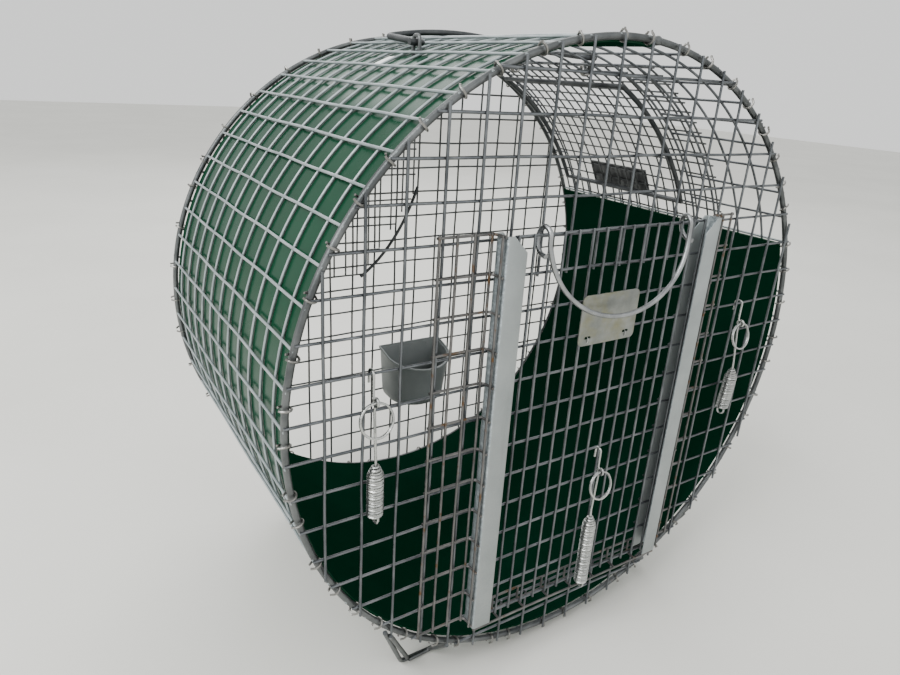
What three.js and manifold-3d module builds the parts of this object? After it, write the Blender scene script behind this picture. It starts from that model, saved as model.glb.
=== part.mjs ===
// Live catch trap: a drum-shaped cage of welded mesh with a lift-up front door.
// Millimetres, +Z up. Inside the drum group the drum's axis is the Y axis, the front disc
// is at y = 0 facing -Y, and z = 0 is the drum's centre. The outer group stands it on z = 0.
// The mesh panels are modelled as flat-bar lattices that keep every second or third wire.
import * as THREE from 'three';
import { mergeVertices } from 'three/addons/utils/BufferGeometryUtils.js';
import Module from 'manifold-3d';

const wasm = await Module();
wasm.setup();

// ---- driving dimensions ---------------------------------------------------------------
const INCH = 25.4;
const PITCH = 2 * INCH; // every second wire of the one inch mesh
const HALF_WIRE = 1.2; // half of a lattice bar's width
const GAP = 0.3; // between pieces that touch

const DRUM_RADIUS = 239; // centre line of the rings and of the wrap's mesh
const DRUM_DEPTH = 304.8; // from the front disc to the back disc
const DRUM_SIDES = 48;
const WRAP_SIDES = 40;
const WRAP_ANGLE = 3.5; // where the first of its lengthwise wires lies
const RING_WIRE_RADIUS = 2.4;
const FRONT_FACE = -2; // front face of the front disc's lattice
const MESH_THICK = 2 * HALF_WIRE;

const WRAP_HOOPS = [3, 5, 8, 11]; // in inches from the front disc

const LINER_THICK = 2;
const LINER_START = 84.7; // degrees, anticlockwise seen from the front, 0 is +X
const LINER_END = 381.5;
const LINER_SHORT = 7; // how far the liner stops before the back disc

const DOOR_HALF_WIDTH = 88.9;
const DOOR_BOTTOM = -187.1; // lowest wire of the door
const DOOR_HEIGHT = 12 * INCH;
const DOOR_FACE = -10.2; // front face of the door's lattice
const OPENING_HALF_WIDTH = 81;
const OPENING_TOP = 87;
const OPENING_BOTTOM = -189.3;

const CHANNEL_OUTER = 101.6; // half the width over both channels
const CHANNEL_FLANGE = 16;
const CHANNEL_DEPTH = 13.2;
const CHANNEL_SHEET = 0.9;
const CHANNEL_BOTTOM = -189.5;
const CHANNEL_TOP = 120;
const CHANNEL_CHAMFER = 11;

const COLLAR_LEFT_REACH = 144; // half-width to the outer end of the left strip's wires
const COLLAR_RIGHT_REACH = 130;
const COLLAR_TOP_ROW = 119.5;
const SILL_Z = -191.3;
const SILL_RISE = 13;

const BAIL_WIRE = 1.75;
const BAIL_HALF_WIDTH = 67;
const BAIL_DROP = 59;
const BAIL_LEAN = 11;
const PLATE_WIDTH = 55.6;
const PLATE_HEIGHT = 38.1;
const PLATE_THICK = 0.9;
const PLATE_CENTRE = 52.6;

const SPRING_RADIUS = 5.75;
const HOOK_WIRE = 0.9;
const EYE_RADIUS = 2.7;
const PULL_RING_RADIUS = 11.2;
const PULL_RING_WIRE = 0.9;
const PULL_RING_TILT = 14; // degrees outward, leaning on the hook's shank

const HANDLE_ROD = 2.5;
const HANDLE_Y = 136; // the handle's turning line
const HANDLE_STAPLE_X = 86;
const HANDLE_CLEARANCE = 7; // from the wrap's middle line up to the turning line
const HANDLE_Z = Math.sqrt(DRUM_RADIUS ** 2 - HANDLE_STAPLE_X ** 2) + HANDLE_CLEARANCE;
const HANDLE_ARM_X = 80;
const HANDLE_CORNER_X = 69;
const HANDLE_REACH = 81;
const HANDLE_REST_Z = HANDLE_Z + 6.5; // where its corners lie beside the crown
const HANDLE_BOW = 6.9; // of the crossbar, over the crown
const STAPLE_WIRE = 1.5;

const STAND_WIRE = 2;
const STAND_HALF_WIDTH = 137;
const STAND_INSET = 32; // the bar's distance inside the disc
const STAND_CLEARANCE = 9; // from the ring's middle line down to the bar's
const STAND_DROP = DRUM_RADIUS + STAND_CLEARANCE; // the bar's centre below the drum's centre
const STAND_RING_ANGLE = 226.5; // where its legs meet the ring
const STAND_BRACE_X = 112;

const HATCH_TOP = 66.5; // degrees
const HATCH_BOTTOM = 18;
const HATCH_FRONT = 3 * INCH;
const HATCH_BACK = 296;
const WINDOW_TOP = HATCH_TOP - 0.4; // the wire that the hatch hinges on
const WINDOW_BOTTOM = 26;
const WINDOW_FRONT = 4 * INCH;
const WINDOW_BACK = 11 * INCH;
const HATCH_FRAME_ROD = 4.6;
const HATCH_PLATE_Y = 208.5; // middle of the blank plate, front to back
const HATCH_PLATE_LENGTH = 84;
const HATCH_PLATE_HEIGHT = 30;
const HATCH_PLATE_ANGLE = 27.6;

const REAR_PANEL_RIGHT = 2;
const REAR_PANEL_LOW = 8;
const REAR_PANEL_CUT_X = -56; // the cut corner runs from here to the right edge
const REAR_PANEL_CUT_Z = 91;
const REAR_PANEL_SETBACK = 17;

const CUP_X = 13;
const CUP_HALF_WIDTH = 38;
const CUP_DEPTH = 54;
const CUP_TOP = -84;
const CUP_HEIGHT = 66;
const CUP_WALL = 2.4;
const CUP_RIM_DROP = 14; // the rim falls this much from the mesh to the front
const CUP_TAPER = 0.9; // bottom size over top size
const BACK_ROW = -88.9; // the back disc's wire that the cup hangs on

// ---- sizes worked out from them -------------------------------------------------------
const frontBack = FRONT_FACE + MESH_THICK;
const ringFrontY = frontBack + GAP + RING_WIRE_RADIUS;
const backFace = DRUM_DEPTH - FRONT_FACE;
const backFront = backFace - MESH_THICK;
const ringBackY = backFront - GAP - RING_WIRE_RADIUS;
const wrapFront = ringFrontY + RING_WIRE_RADIUS + GAP;
const wrapBack = ringBackY - RING_WIRE_RADIUS - GAP;
const wrapInner = DRUM_RADIUS - HALF_WIRE;
const wrapOuter = DRUM_RADIUS + HALF_WIRE;
const facetDip = wrapInner * (1 - Math.cos(Math.PI / WRAP_SIDES));
const linerOuter = wrapInner - facetDip - GAP;
const linerInner = linerOuter - LINER_THICK;
const hatchInner = wrapOuter + 2.8;
const hatchOuter = hatchInner + MESH_THICK;
const channelFront = FRONT_FACE - GAP - CHANNEL_DEPTH;
const collarBack = FRONT_FACE - GAP;
const doorBack = DOOR_FACE + MESH_THICK;
const floorZ = -STAND_DROP - STAND_WIRE;
const radians = THREE.MathUtils.degToRad;

// ---- solids ---------------------------------------------------------------------------
function solidOf(geometry) {
  const plain = geometry.clone();
  plain.deleteAttribute('normal');
  plain.deleteAttribute('uv');
  const merged = mergeVertices(plain, 1e-4);
  const { Manifold, Mesh } = wasm;
  const mesh = { numProp: 3, vertProperties: merged.attributes.position.array };
  mesh.triVerts = new Uint32Array(merged.index.array);
  return new Manifold(new Mesh(mesh));
}

function geometryOf(solid) {
  const made = solid.getMesh();
  const geometry = new THREE.BufferGeometry();
  geometry.setAttribute('position', new THREE.BufferAttribute(made.vertProperties, 3));
  geometry.setIndex(new THREE.BufferAttribute(made.triVerts, 1));
  const flat = geometry.toNonIndexed();
  flat.computeVertexNormals();
  return flat;
}

// Joins overlapping geometries into one, then cuts others out and trims to an outline.
function joined(parts, cuts = [], outline = null) {
  let solid = solidOf(parts[0]);
  for (const part of parts.slice(1)) solid = solid.add(solidOf(part));
  if (outline) solid = solid.intersect(solidOf(outline));
  for (const cut of cuts) solid = solid.subtract(solidOf(cut));
  return geometryOf(solid);
}

function box(x0, x1, y0, y1, z0, z1) {
  const geometry = new THREE.BoxGeometry(x1 - x0, y1 - y0, z1 - z0);
  return geometry.translate((x0 + x1) / 2, (y0 + y1) / 2, (z0 + z1) / 2);
}

// A flat outline in x and z, given a thickness from y0 to y1.
function alongY(shape, y0, y1, curveSegments = 24) {
  const geometry = new THREE.ExtrudeGeometry(shape, {
    depth: y1 - y0,
    bevelEnabled: false,
    curveSegments,
  });
  return geometry.rotateX(Math.PI / 2).translate(0, y1, 0);
}

// A piece of a tube wall round the drum's axis, between two angles in degrees.
function arcBand(inner, outer, from, to, y0, y1, segments) {
  const shape = new THREE.Shape();
  shape.absarc(0, 0, outer, radians(from), radians(to), false);
  shape.absarc(0, 0, inner, radians(to), radians(from), true);
  return alongY(shape, y0, y1, segments / 2);
}

// A full hoop of rectangular section round the drum's axis.
function hoop(inner, outer, y0, y1) {
  const section = [
    new THREE.Vector2(inner, y0),
    new THREE.Vector2(outer, y0),
    new THREE.Vector2(outer, y1),
    new THREE.Vector2(inner, y1),
    new THREE.Vector2(inner, y0),
  ];
  const hoopSides = new THREE.LatheGeometry(section, WRAP_SIDES);
  const facet = 180 / WRAP_SIDES;
  return hoopSides.rotateY(-radians(WRAP_ANGLE - facet));
}

// A bar along Y at a radius and an angle on the drum.
function axialBar(radius, angle, y0, y1) {
  const bar = box(radius - HALF_WIRE, radius + HALF_WIRE, y0, y1, -HALF_WIRE, HALF_WIRE);
  return bar.rotateY(-radians(angle));
}

// A centre line through stations, with one tube segment between each two.
class StationLine extends THREE.Curve {
  constructor(stations) {
    super();
    this.stations = stations;
  }

  getPoint(t) {
    const last = this.stations.length - 1;
    const i = Math.min(Math.floor(t * last + 1e-9), last - 1);
    return this.stations[i].clone().lerp(this.stations[i + 1], t * last - i);
  }

  getPointAt(u) {
    return this.getPoint(u);
  }

  getTangentAt(u) {
    const last = this.stations.length - 1;
    const i = Math.round(u * last);
    const direction = new THREE.Vector3();
    for (const j of [Math.max(i, 1), Math.min(i + 1, last)]) {
      direction.add(this.stations[j].clone().sub(this.stations[j - 1]).normalize());
    }
    return direction.normalize();
  }
}

// Straight runs with rounded corners, each corner in three short steps.
function bentWire(points, corner, radius, sides) {
  const stations = [points[0]];
  for (let i = 1; i < points.length - 1; i += 1) {
    const into = points[i].clone().sub(points[i - 1]);
    const out = points[i + 1].clone().sub(points[i]);
    const trim = Math.min(corner, into.length() / 2.2, out.length() / 2.2);
    const before = points[i].clone().addScaledVector(into.normalize(), -trim);
    const after = points[i].clone().addScaledVector(out.normalize(), trim);
    const bend = new THREE.QuadraticBezierCurve3(before, points[i], after);
    stations.push(...bend.getPoints(3));
  }
  stations.push(points[points.length - 1]);
  return tube(new StationLine(stations), radius, sides, stations.length - 1);
}

function tube(path, radius, sides, steps) {
  const section = new THREE.Shape();
  for (let i = 0; i < sides; i += 1) {
    const turn = (2 * Math.PI * i) / sides;
    const x = radius * Math.cos(turn);
    const y = radius * Math.sin(turn);
    if (i === 0) section.moveTo(x, y);
    else section.lineTo(x, y);
  }
  return new THREE.ExtrudeGeometry(section, { steps, extrudePath: path, bevelEnabled: false });
}

// A ring of round wire whose axis is x, y or z.
function wireRing(radius, wire, axis, sides = 6, segments = 16) {
  const ring = new THREE.TorusGeometry(radius, wire, sides, segments);
  if (axis === 'x') ring.rotateY(Math.PI / 2);
  if (axis === 'y') ring.rotateX(Math.PI / 2);
  return ring;
}

// ---- the object's tree ----------------------------------------------------------------
const drum = new THREE.Group();

function add(name, geometry, color, roughness, metalness, place = null) {
  const material = new THREE.MeshStandardMaterial({ color, roughness, metalness });
  const mesh = new THREE.Mesh(geometry, material);
  mesh.name = name;
  if (place) mesh.position.copy(place);
  drum.add(mesh);
  return mesh;
}

const steel = (name, geometry, place) => add(name, geometry, 0x8c9092, 0.45, 0.9, place);
const zinc = (name, geometry, place) => add(name, geometry, 0xb9bec1, 0.3, 1, place);

// Mesh row heights: the hooks' wires at 1.5 and -2.5 inches are among them.
const rowHeights = [-4, -3, -2, -1, 0, 1, 2, 3].map((k) => 1.5 * INCH + k * PITCH);
const columnPlaces = [0.5, 3.5, 6, 8.5].flatMap((k) => [k * INCH, -k * INCH]);

function disc(y0, y1) {
  const outline = new THREE.CylinderGeometry(wrapOuter, wrapOuter, y1 - y0 + 2, DRUM_SIDES);
  return outline.translate(0, (y0 + y1) / 2, 0);
}

function lattice(columns, rows, y0, y1, reach) {
  const bars = rows.map((z) => box(-reach, reach, y0, y1, z - HALF_WIRE, z + HALF_WIRE));
  for (const x of columns) {
    bars.push(box(x - HALF_WIRE, x + HALF_WIRE, y0, y1, -reach, reach));
  }
  return bars;
}

function makeRings() {
  for (const [name, y] of [['front_ring', ringFrontY], ['back_ring', ringBackY]]) {
    const ring = wireRing(DRUM_RADIUS, RING_WIRE_RADIUS, 'y', 6, DRUM_SIDES);
    steel(name, ring, new THREE.Vector3(0, y, 0));
  }
}

function makeFrontDisc() {
  const bars = lattice(columnPlaces, [...rowHeights, -7.5 * INCH], FRONT_FACE, frontBack, 260);
  const opening = box(
    -OPENING_HALF_WIDTH, OPENING_HALF_WIDTH, -20, 20, OPENING_BOTTOM, OPENING_TOP,
  );
  steel('front_mesh', joined(bars, [opening], disc(FRONT_FACE, frontBack)));
}

function makeBackDisc() {
  const rows = [-1, 0, 1, 2, 3, 4].map((k) => BACK_ROW + k * 3 * INCH);
  const columns = [-3, -2, -1, 0, 1, 2, 3].map((k) => k * 2.75 * INCH - 8);
  const bars = lattice(columns, rows, backFront, backFace, 260);
  steel('back_mesh', joined(bars, [], disc(backFront, backFace)));
}

function makeWrap() {
  const bars = WRAP_HOOPS.map((k) => {
    return hoop(wrapInner, wrapOuter, k * INCH - HALF_WIRE, k * INCH + HALF_WIRE);
  });
  const facetRadius = DRUM_RADIUS * Math.cos(Math.PI / WRAP_SIDES);
  for (let angle = WRAP_ANGLE; angle < 360; angle += 720 / WRAP_SIDES) {
    bars.push(axialBar(facetRadius, angle, wrapFront, wrapBack));
  }
  const from = WINDOW_FRONT - HALF_WIRE;
  const to = WINDOW_BACK + HALF_WIRE;
  for (const angle of [WINDOW_BOTTOM, WINDOW_TOP]) {
    bars.push(axialBar(DRUM_RADIUS, angle, from, to));
  }
  const sill = WINDOW_FRONT + HALF_WIRE;
  bars.push(arcBand(wrapInner, wrapOuter, WINDOW_BOTTOM, WINDOW_TOP, from, sill, 8));
  const window = arcBand(
    wrapInner - 15, wrapOuter + 15, WINDOW_BOTTOM + 0.25, WINDOW_TOP - 0.25,
    WINDOW_FRONT + HALF_WIRE, WINDOW_BACK - HALF_WIRE, 6,
  );
  steel('barrel_mesh', joined(bars, [window]));
}

function makeLiner() {
  const back = DRUM_DEPTH - LINER_SHORT;
  const sheet = arcBand(
    linerInner, linerOuter, LINER_START, LINER_END, wrapFront, back, 50,
  );
  add('liner', sheet, 0x0c4a2e, 0.35, 0);
  const sticker = arcBand(
    linerOuter + 0.35, linerOuter + 0.75, 112.3, 115.8, 155.5, 170.5, 2,
  );
  add('label_blank', sticker, 0xf2f2f0, 0.6, 0);
}

function makeChannels() {
  for (const [name, side] of [['channel_left', -1], ['channel_right', 1]]) {
    const outer = CHANNEL_OUTER;
    const inner = outer - CHANNEL_FLANGE;
    const back = channelFront + CHANNEL_DEPTH;
    const sheet = CHANNEL_SHEET;
    const x0 = side < 0 ? -outer : inner;
    const x1 = side < 0 ? -inner : outer;
    const body = box(x0, x1, channelFront, back, CHANNEL_BOTTOM, CHANNEL_TOP);
    const slotX0 = side < 0 ? -outer + sheet : inner - 5;
    const slotX1 = side < 0 ? -inner + 5 : outer - sheet;
    const slot = box(slotX0, slotX1, channelFront + sheet, back - sheet, -300, 300);
    const corner = new THREE.Shape();
    corner.moveTo(side * (inner - 1), CHANNEL_TOP - CHANNEL_CHAMFER - 1);
    corner.lineTo(side * (inner - 1), CHANNEL_TOP + 1);
    corner.lineTo(side * (inner + CHANNEL_CHAMFER + 1), CHANNEL_TOP + 1);
    corner.closePath();
    const chamfer = alongY(corner, channelFront - 5, back + 5);
    zinc(name, joined([body], [slot, chamfer]));
  }
}

// A strip of mesh that lies on the front disc and turns outward along the channel.
function makeCollar(name, side, reach) {
  const inner = CHANNEL_OUTER + GAP;
  const corner = inner + MESH_THICK;
  const front = collarBack - MESH_THICK;
  const bars = [];
  const across = (a, b, y0, y1, z0, z1) => {
    bars.push(box(Math.min(side * a, side * b), Math.max(side * a, side * b), y0, y1, z0, z1));
  };
  for (let row = 0; row < 7; row += 1) {
    const z = COLLAR_TOP_ROW - row * PITCH;
    across(inner, reach, front, collarBack, z - HALF_WIRE, z + HALF_WIRE);
    across(inner, corner, channelFront, collarBack, z - HALF_WIRE, z + HALF_WIRE);
  }
  const low = COLLAR_TOP_ROW - 6 * PITCH - 2 * HALF_WIRE;
  const high = COLLAR_TOP_ROW + 2 * HALF_WIRE;
  for (let x = reach; x > corner + INCH / 3; x -= INCH) {
    across(x - MESH_THICK, x, front, collarBack, low, high);
  }
  across(inner, corner, front, collarBack, low, high);
  steel(name, joined(bars));
}

function makeSill() {
  const reach = CHANNEL_OUTER;
  const bars = [];
  const low = SILL_Z - HALF_WIRE;
  const high = SILL_Z + HALF_WIRE;
  const front = collarBack - MESH_THICK;
  bars.push(box(-reach, reach, channelFront, channelFront + MESH_THICK, low, high));
  bars.push(box(-reach, reach, front, collarBack, low, high));
  const riseReach = CHANNEL_OUTER - CHANNEL_FLANGE - 1;
  const top = SILL_Z + SILL_RISE;
  bars.push(box(-riseReach, riseReach, front, collarBack, top - MESH_THICK, top));
  for (let k = -1; k <= 1; k += 1) {
    const x = k * PITCH;
    bars.push(box(x - HALF_WIRE, x + HALF_WIRE, channelFront, collarBack, low, high));
    bars.push(box(x - HALF_WIRE, x + HALF_WIRE, front, collarBack, low, top));
  }
  steel('collar_sill', joined(bars));
}

function makeDoor() {
  const columns = [-3.5, -2.5, -1.5, -0.5, 0.5, 1.5, 2.5, 3.5].map((k) => k * INCH);
  const rows = [0, 2, 4, 6, 8, 10, 12].map((k) => DOOR_BOTTOM + (k * DOOR_HEIGHT) / 12);
  const bars = lattice(columns, rows, DOOR_FACE, doorBack, 400);
  const edge = DOOR_HALF_WIDTH + HALF_WIRE;
  const low = DOOR_BOTTOM - HALF_WIRE;
  const high = DOOR_BOTTOM + DOOR_HEIGHT + HALF_WIRE;
  const outline = box(-edge, edge, DOOR_FACE - 1, doorBack + 1, low, high);
  steel('door_mesh', joined(bars, [], outline));
}

function makeDoorPlate() {
  const shape = new THREE.Shape();
  const w = PLATE_WIDTH / 2;
  const h = PLATE_HEIGHT / 2;
  const r = 4;
  shape.moveTo(-w + r, -h);
  shape.absarc(w - r, -h + r, r, -Math.PI / 2, 0, false);
  shape.absarc(w - r, h - r, r, 0, Math.PI / 2, false);
  shape.absarc(-w + r, h - r, r, Math.PI / 2, Math.PI, false);
  shape.absarc(-w + r, -h + r, r, Math.PI, 1.5 * Math.PI, false);
  const back = DOOR_FACE - GAP;
  const plate = alongY(shape, back - PLATE_THICK, back, 2);
  add('door_plate', plate, 0xa3a39a, 0.45, 0.8, new THREE.Vector3(0, 0, PLATE_CENTRE));
}

function makeDoorBail() {
  const topZ = DOOR_BOTTOM + DOOR_HEIGHT;
  const eyeRadius = 1.7 + GAP + BAIL_WIRE + 0.6;
  const barY = (DOOR_FACE + doorBack) / 2;
  const parts = [];
  for (const side of [-1, 1]) {
    const eye = wireRing(eyeRadius, BAIL_WIRE, 'x', 6, 10);
    parts.push(eye.translate(side * BAIL_HALF_WIDTH, barY, topZ));
  }
  const eyeFront = barY - eyeRadius;
  const drop = (t) => {
    const x = BAIL_HALF_WIDTH * Math.sin((t * Math.PI) / 2);
    const fall = Math.cos((t * Math.PI) / 2) ** 0.9;
    return new THREE.Vector3(x, eyeFront - BAIL_LEAN * fall, topZ - BAIL_DROP * fall);
  };
  const steps = 16;
  const stations = [];
  for (let i = 0; i <= steps; i += 1) stations.push(drop((2 * i) / steps - 1));
  parts.push(tube(new StationLine(stations), BAIL_WIRE, 6, steps));
  steel('door_bail', joined(parts));
}

// A hook over a mesh wire, with an eye for its pull ring and a shank down to its spring.
function makeSpringHook(spec) {
  const { name, x, hookY, hookZ, over, springTop, springBottom, springY } = spec;
  const shankY = hookY - over;
  const eyeZ = hookZ - 16.5;
  const shank = bentWire([
    new THREE.Vector3(x, hookY + over, hookZ - 5.5),
    new THREE.Vector3(x, hookY + over, hookZ + over),
    new THREE.Vector3(x, shankY, hookZ + over),
    new THREE.Vector3(x, shankY, eyeZ + 2),
    new THREE.Vector3(x, springY, springTop + 0.5),
  ], 3, HOOK_WIRE, 6);
  const eye = wireRing(EYE_RADIUS, HOOK_WIRE, 'x', 6, 10);
  eye.translate(x, shankY - EYE_RADIUS + 0.3, eyeZ);
  zinc(`hook_${name}`, joined([shank, eye]));

  const ring = wireRing(PULL_RING_RADIUS, PULL_RING_WIRE, 'y', 6, 16);
  ring.translate(0, 0, -PULL_RING_RADIUS).rotateX(-radians(PULL_RING_TILT));
  const eyePlace = new THREE.Vector3(x, shankY - EYE_RADIUS + 0.3, eyeZ);
  zinc(`ring_${name}`, ring, eyePlace);

  const taper = 7;
  const neck = 2.2;
  const profile = [
    [0, springBottom + 4],
    [neck, springBottom + 4],
    [SPRING_RADIUS, springBottom + 7],
    [SPRING_RADIUS, springTop - taper],
    [neck, springTop],
    [0, springTop],
  ].map(([r, z]) => new THREE.Vector2(r, z));
  const coil = new THREE.LatheGeometry(profile, 12).rotateX(Math.PI / 2);
  zinc(`spring_${name}`, coil, new THREE.Vector3(x, springY, 0));
}

function makeSpringHooks() {
  const meshMiddle = (FRONT_FACE + frontBack) / 2;
  const parked = {
    hookY: meshMiddle,
    over: 3.2,
    hookZ: 1.5 * INCH,
    springTop: -21,
    springBottom: -2.5 * INCH,
    springY: FRONT_FACE - SPRING_RADIUS - 1.2,
  };
  makeSpringHook({ ...parked, name: 'left', x: -185 });
  makeSpringHook({ ...parked, name: 'right', x: 169 });
  // The middle one stands clear in front of the door, so that the door can be lifted.
  makeSpringHook({
    name: 'centre',
    x: 7,
    hookY: DOOR_FACE - 4.6,
    over: 2.6,
    hookZ: -59,
    springTop: -119,
    springBottom: SILL_Z + HALF_WIRE,
    springY: DOOR_FACE - SPRING_RADIUS - 1.6,
  });
}

function makeCarryHandle() {
  const corner = (side) => new THREE.Vector3(
    side * HANDLE_CORNER_X, HANDLE_Y + HANDLE_REACH, HANDLE_REST_Z,
  );
  const arm = (side) => new THREE.Vector3(side * HANDLE_ARM_X, HANDLE_Y, HANDLE_Z);
  const end = (side) => new THREE.Vector3(side * (HANDLE_STAPLE_X + 6), HANDLE_Y, HANDLE_Z);
  const crossbar = [-0.5, 0, 0.5].map((share) => new THREE.Vector3(
    share * 2 * HANDLE_CORNER_X * 0.5, HANDLE_Y + HANDLE_REACH,
    HANDLE_REST_Z + HANDLE_BOW * (1 - share * share),
  ));
  const bends = [end(-1), arm(-1), corner(-1), ...crossbar, corner(1), arm(1), end(1)];
  const handle = bentWire(bends, 7, HANDLE_ROD, 8);
  add('carry_handle', handle, 0x6f7375, 0.45, 0.9);

  const inside = HANDLE_ROD + GAP + STAPLE_WIRE + 0.4;
  // Its legs stand on the wrap, one on each side of the handle's end.
  const lowX = HANDLE_STAPLE_X - STAPLE_WIRE;
  const foot = Math.sqrt(wrapOuter ** 2 - lowX ** 2) + GAP - HANDLE_Z;
  for (const [name, side] of [['handle_clip_left', -1], ['handle_clip_right', 1]]) {
    const arch = bentWire([
      new THREE.Vector3(0, -inside, foot),
      new THREE.Vector3(0, -inside, inside),
      new THREE.Vector3(0, inside, inside),
      new THREE.Vector3(0, inside, foot),
    ], inside, STAPLE_WIRE, 6);
    const place = new THREE.Vector3(side * HANDLE_STAPLE_X, HANDLE_Y, HANDLE_Z);
    steel(name, arch, place);
  }
}

// One bent wire under each end of the drum: a bar on the floor with legs up to the ring.
function makeStand(name, ringY, inward) {
  const barY = ringY + inward * (STAND_INSET - ringFrontY);
  const reach = DRUM_RADIUS + RING_WIRE_RADIUS + STAND_WIRE + GAP + 0.2;
  const ringX = -reach * Math.cos(radians(STAND_RING_ANGLE));
  const ringZ = reach * Math.sin(radians(STAND_RING_ANGLE));
  const foot = 2;
  const barLength = 2 * (STAND_HALF_WIDTH - foot);
  const bar = new THREE.CylinderGeometry(
    STAND_WIRE / Math.cos(Math.PI / 8), STAND_WIRE / Math.cos(Math.PI / 8), barLength + 4, 8,
  );
  bar.rotateY(Math.PI / 8).rotateZ(Math.PI / 2).translate(0, barY, -STAND_DROP);
  const parts = [bar];
  for (const side of [-1, 1]) {
    const low = new THREE.Vector3(side * STAND_HALF_WIDTH, barY, -STAND_DROP + 0.8);
    const high = new THREE.Vector3(side * ringX, ringY, ringZ);
    parts.push(tube(new THREE.LineCurve3(low, high), STAND_WIRE, 6, 1));
    const braceTop = -Math.sqrt(reach ** 2 - STAND_BRACE_X ** 2);
    const braceHigh = new THREE.Vector3(side * STAND_BRACE_X, ringY, braceTop);
    const braceLow = new THREE.Vector3(side * (STAND_BRACE_X - 3), barY, -STAND_DROP);
    parts.push(tube(new THREE.LineCurve3(braceLow, braceHigh), STAND_WIRE * 0.8, 6, 1));
  }
  steel(name, joined(parts));
}

function makeHatch() {
  const bars = [];
  for (let k = 0; k <= 4; k += 1) {
    const y = THREE.MathUtils.lerp(HATCH_FRONT, HATCH_BACK, k / 4);
    bars.push(arcBand(
      hatchInner, hatchOuter, HATCH_BOTTOM, HATCH_TOP, y - HALF_WIRE, y + HALF_WIRE, 8,
    ));
  }
  for (let k = 0; k <= 4; k += 1) {
    const angle = THREE.MathUtils.lerp(HATCH_BOTTOM + 0.4, WINDOW_TOP, k / 4);
    bars.push(axialBar(
      (hatchInner + hatchOuter) / 2, angle, HATCH_FRONT - HALF_WIRE, HATCH_BACK + HALF_WIRE,
    ));
  }
  steel('hatch_mesh', joined(bars));

  const middle = HATCH_PLATE_Y;
  const face = hatchOuter + 0.6;
  const plate = box(
    face, face + 1, -HATCH_PLATE_LENGTH / 2, HATCH_PLATE_LENGTH / 2,
    -HATCH_PLATE_HEIGHT / 2, HATCH_PLATE_HEIGHT / 2,
  );
  const lip = box(
    face, face + 6, -HATCH_PLATE_LENGTH / 2, HATCH_PLATE_LENGTH / 2,
    -HATCH_PLATE_HEIGHT / 2 - 0.5, -HATCH_PLATE_HEIGHT / 2 + 0.5,
  );
  const grip = joined([plate, lip]).rotateY(-radians(HATCH_PLATE_ANGLE));
  add('hatch_plate', grip, 0x5d6163, 0.5, 0.8, new THREE.Vector3(0, middle, 0));

  // Each clip goes round the hatch's top wire and the wrap's wire beneath it.
  const hingeRadius = (DRUM_RADIUS + (hatchInner + hatchOuter) / 2) / 2;
  const hingeAngle = radians(WINDOW_TOP);
  for (const [name, y] of [['hatch_hinge_front', 153], ['hatch_hinge_back', 254]]) {
    const clip = wireRing(5.8, 1, 'y', 6, 12);
    const place = new THREE.Vector3(
      hingeRadius * Math.cos(hingeAngle), y, hingeRadius * Math.sin(hingeAngle),
    );
    zinc(name, clip, place);
  }
}

// The rod that borders the hatch opening on the inside of the wrap.
function makeHatchFrame() {
  const outer = linerOuter - 1.2;
  const inner = outer - HATCH_FRAME_ROD;
  const from = WINDOW_BOTTOM;
  const to = WINDOW_TOP - 2.5;
  const start = WINDOW_FRONT + 8;
  const parts = [];
  for (const y of [start, WINDOW_BACK]) {
    parts.push(arcBand(inner, outer, from, to, y, y + HATCH_FRAME_ROD, 8));
  }
  const half = THREE.MathUtils.radToDeg(HATCH_FRAME_ROD / 2 / inner);
  for (const angle of [from + half, to - half]) {
    const end = WINDOW_BACK + HATCH_FRAME_ROD;
    parts.push(arcBand(inner, outer, angle - half, angle + half, start, end, 2));
  }
  steel('hatch_frame', joined(parts));
}

function makeRearPanel() {
  const y1 = backFront - REAR_PANEL_SETBACK;
  const y0 = y1 - MESH_THICK;
  const right = REAR_PANEL_RIGHT;
  const reach = linerInner - 2;
  const bars = [];
  for (let x = right - HALF_WIRE; x > -reach; x -= 1.5 * INCH) {
    bars.push(box(x - HALF_WIRE, x + HALF_WIRE, y0, y1, 0, reach));
  }
  for (let z = REAR_PANEL_LOW + HALF_WIRE; z < reach; z += PITCH) {
    bars.push(box(-reach, right, y0, y1, z - HALF_WIRE, z + HALF_WIRE));
  }
  const outline = new THREE.Shape();
  outline.moveTo(REAR_PANEL_CUT_X, REAR_PANEL_LOW);
  outline.lineTo(right, REAR_PANEL_CUT_Z);
  outline.lineTo(right, Math.sqrt(reach ** 2 - right ** 2));
  outline.absarc(0, 0, reach, radians(90), radians(178), false);
  outline.lineTo(-reach + 1, REAR_PANEL_LOW);
  const panel = joined(bars, [], alongY(outline, y0 - 1, y1 + 1));
  steel('rear_panel', panel);

  const rodY = y0 - GAP - 1.6;
  const high = new THREE.Vector3(right + 2, rodY, REAR_PANEL_CUT_Z + 7);
  const bow = new THREE.Vector3(-19, rodY, 36);
  const low = new THREE.Vector3(REAR_PANEL_CUT_X - 4, rodY, REAR_PANEL_LOW - 1);
  const curve = new THREE.QuadraticBezierCurve3(high, bow, low);
  steel('rear_panel_rod', tube(curve, 1.6, 6, 8));
}

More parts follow.
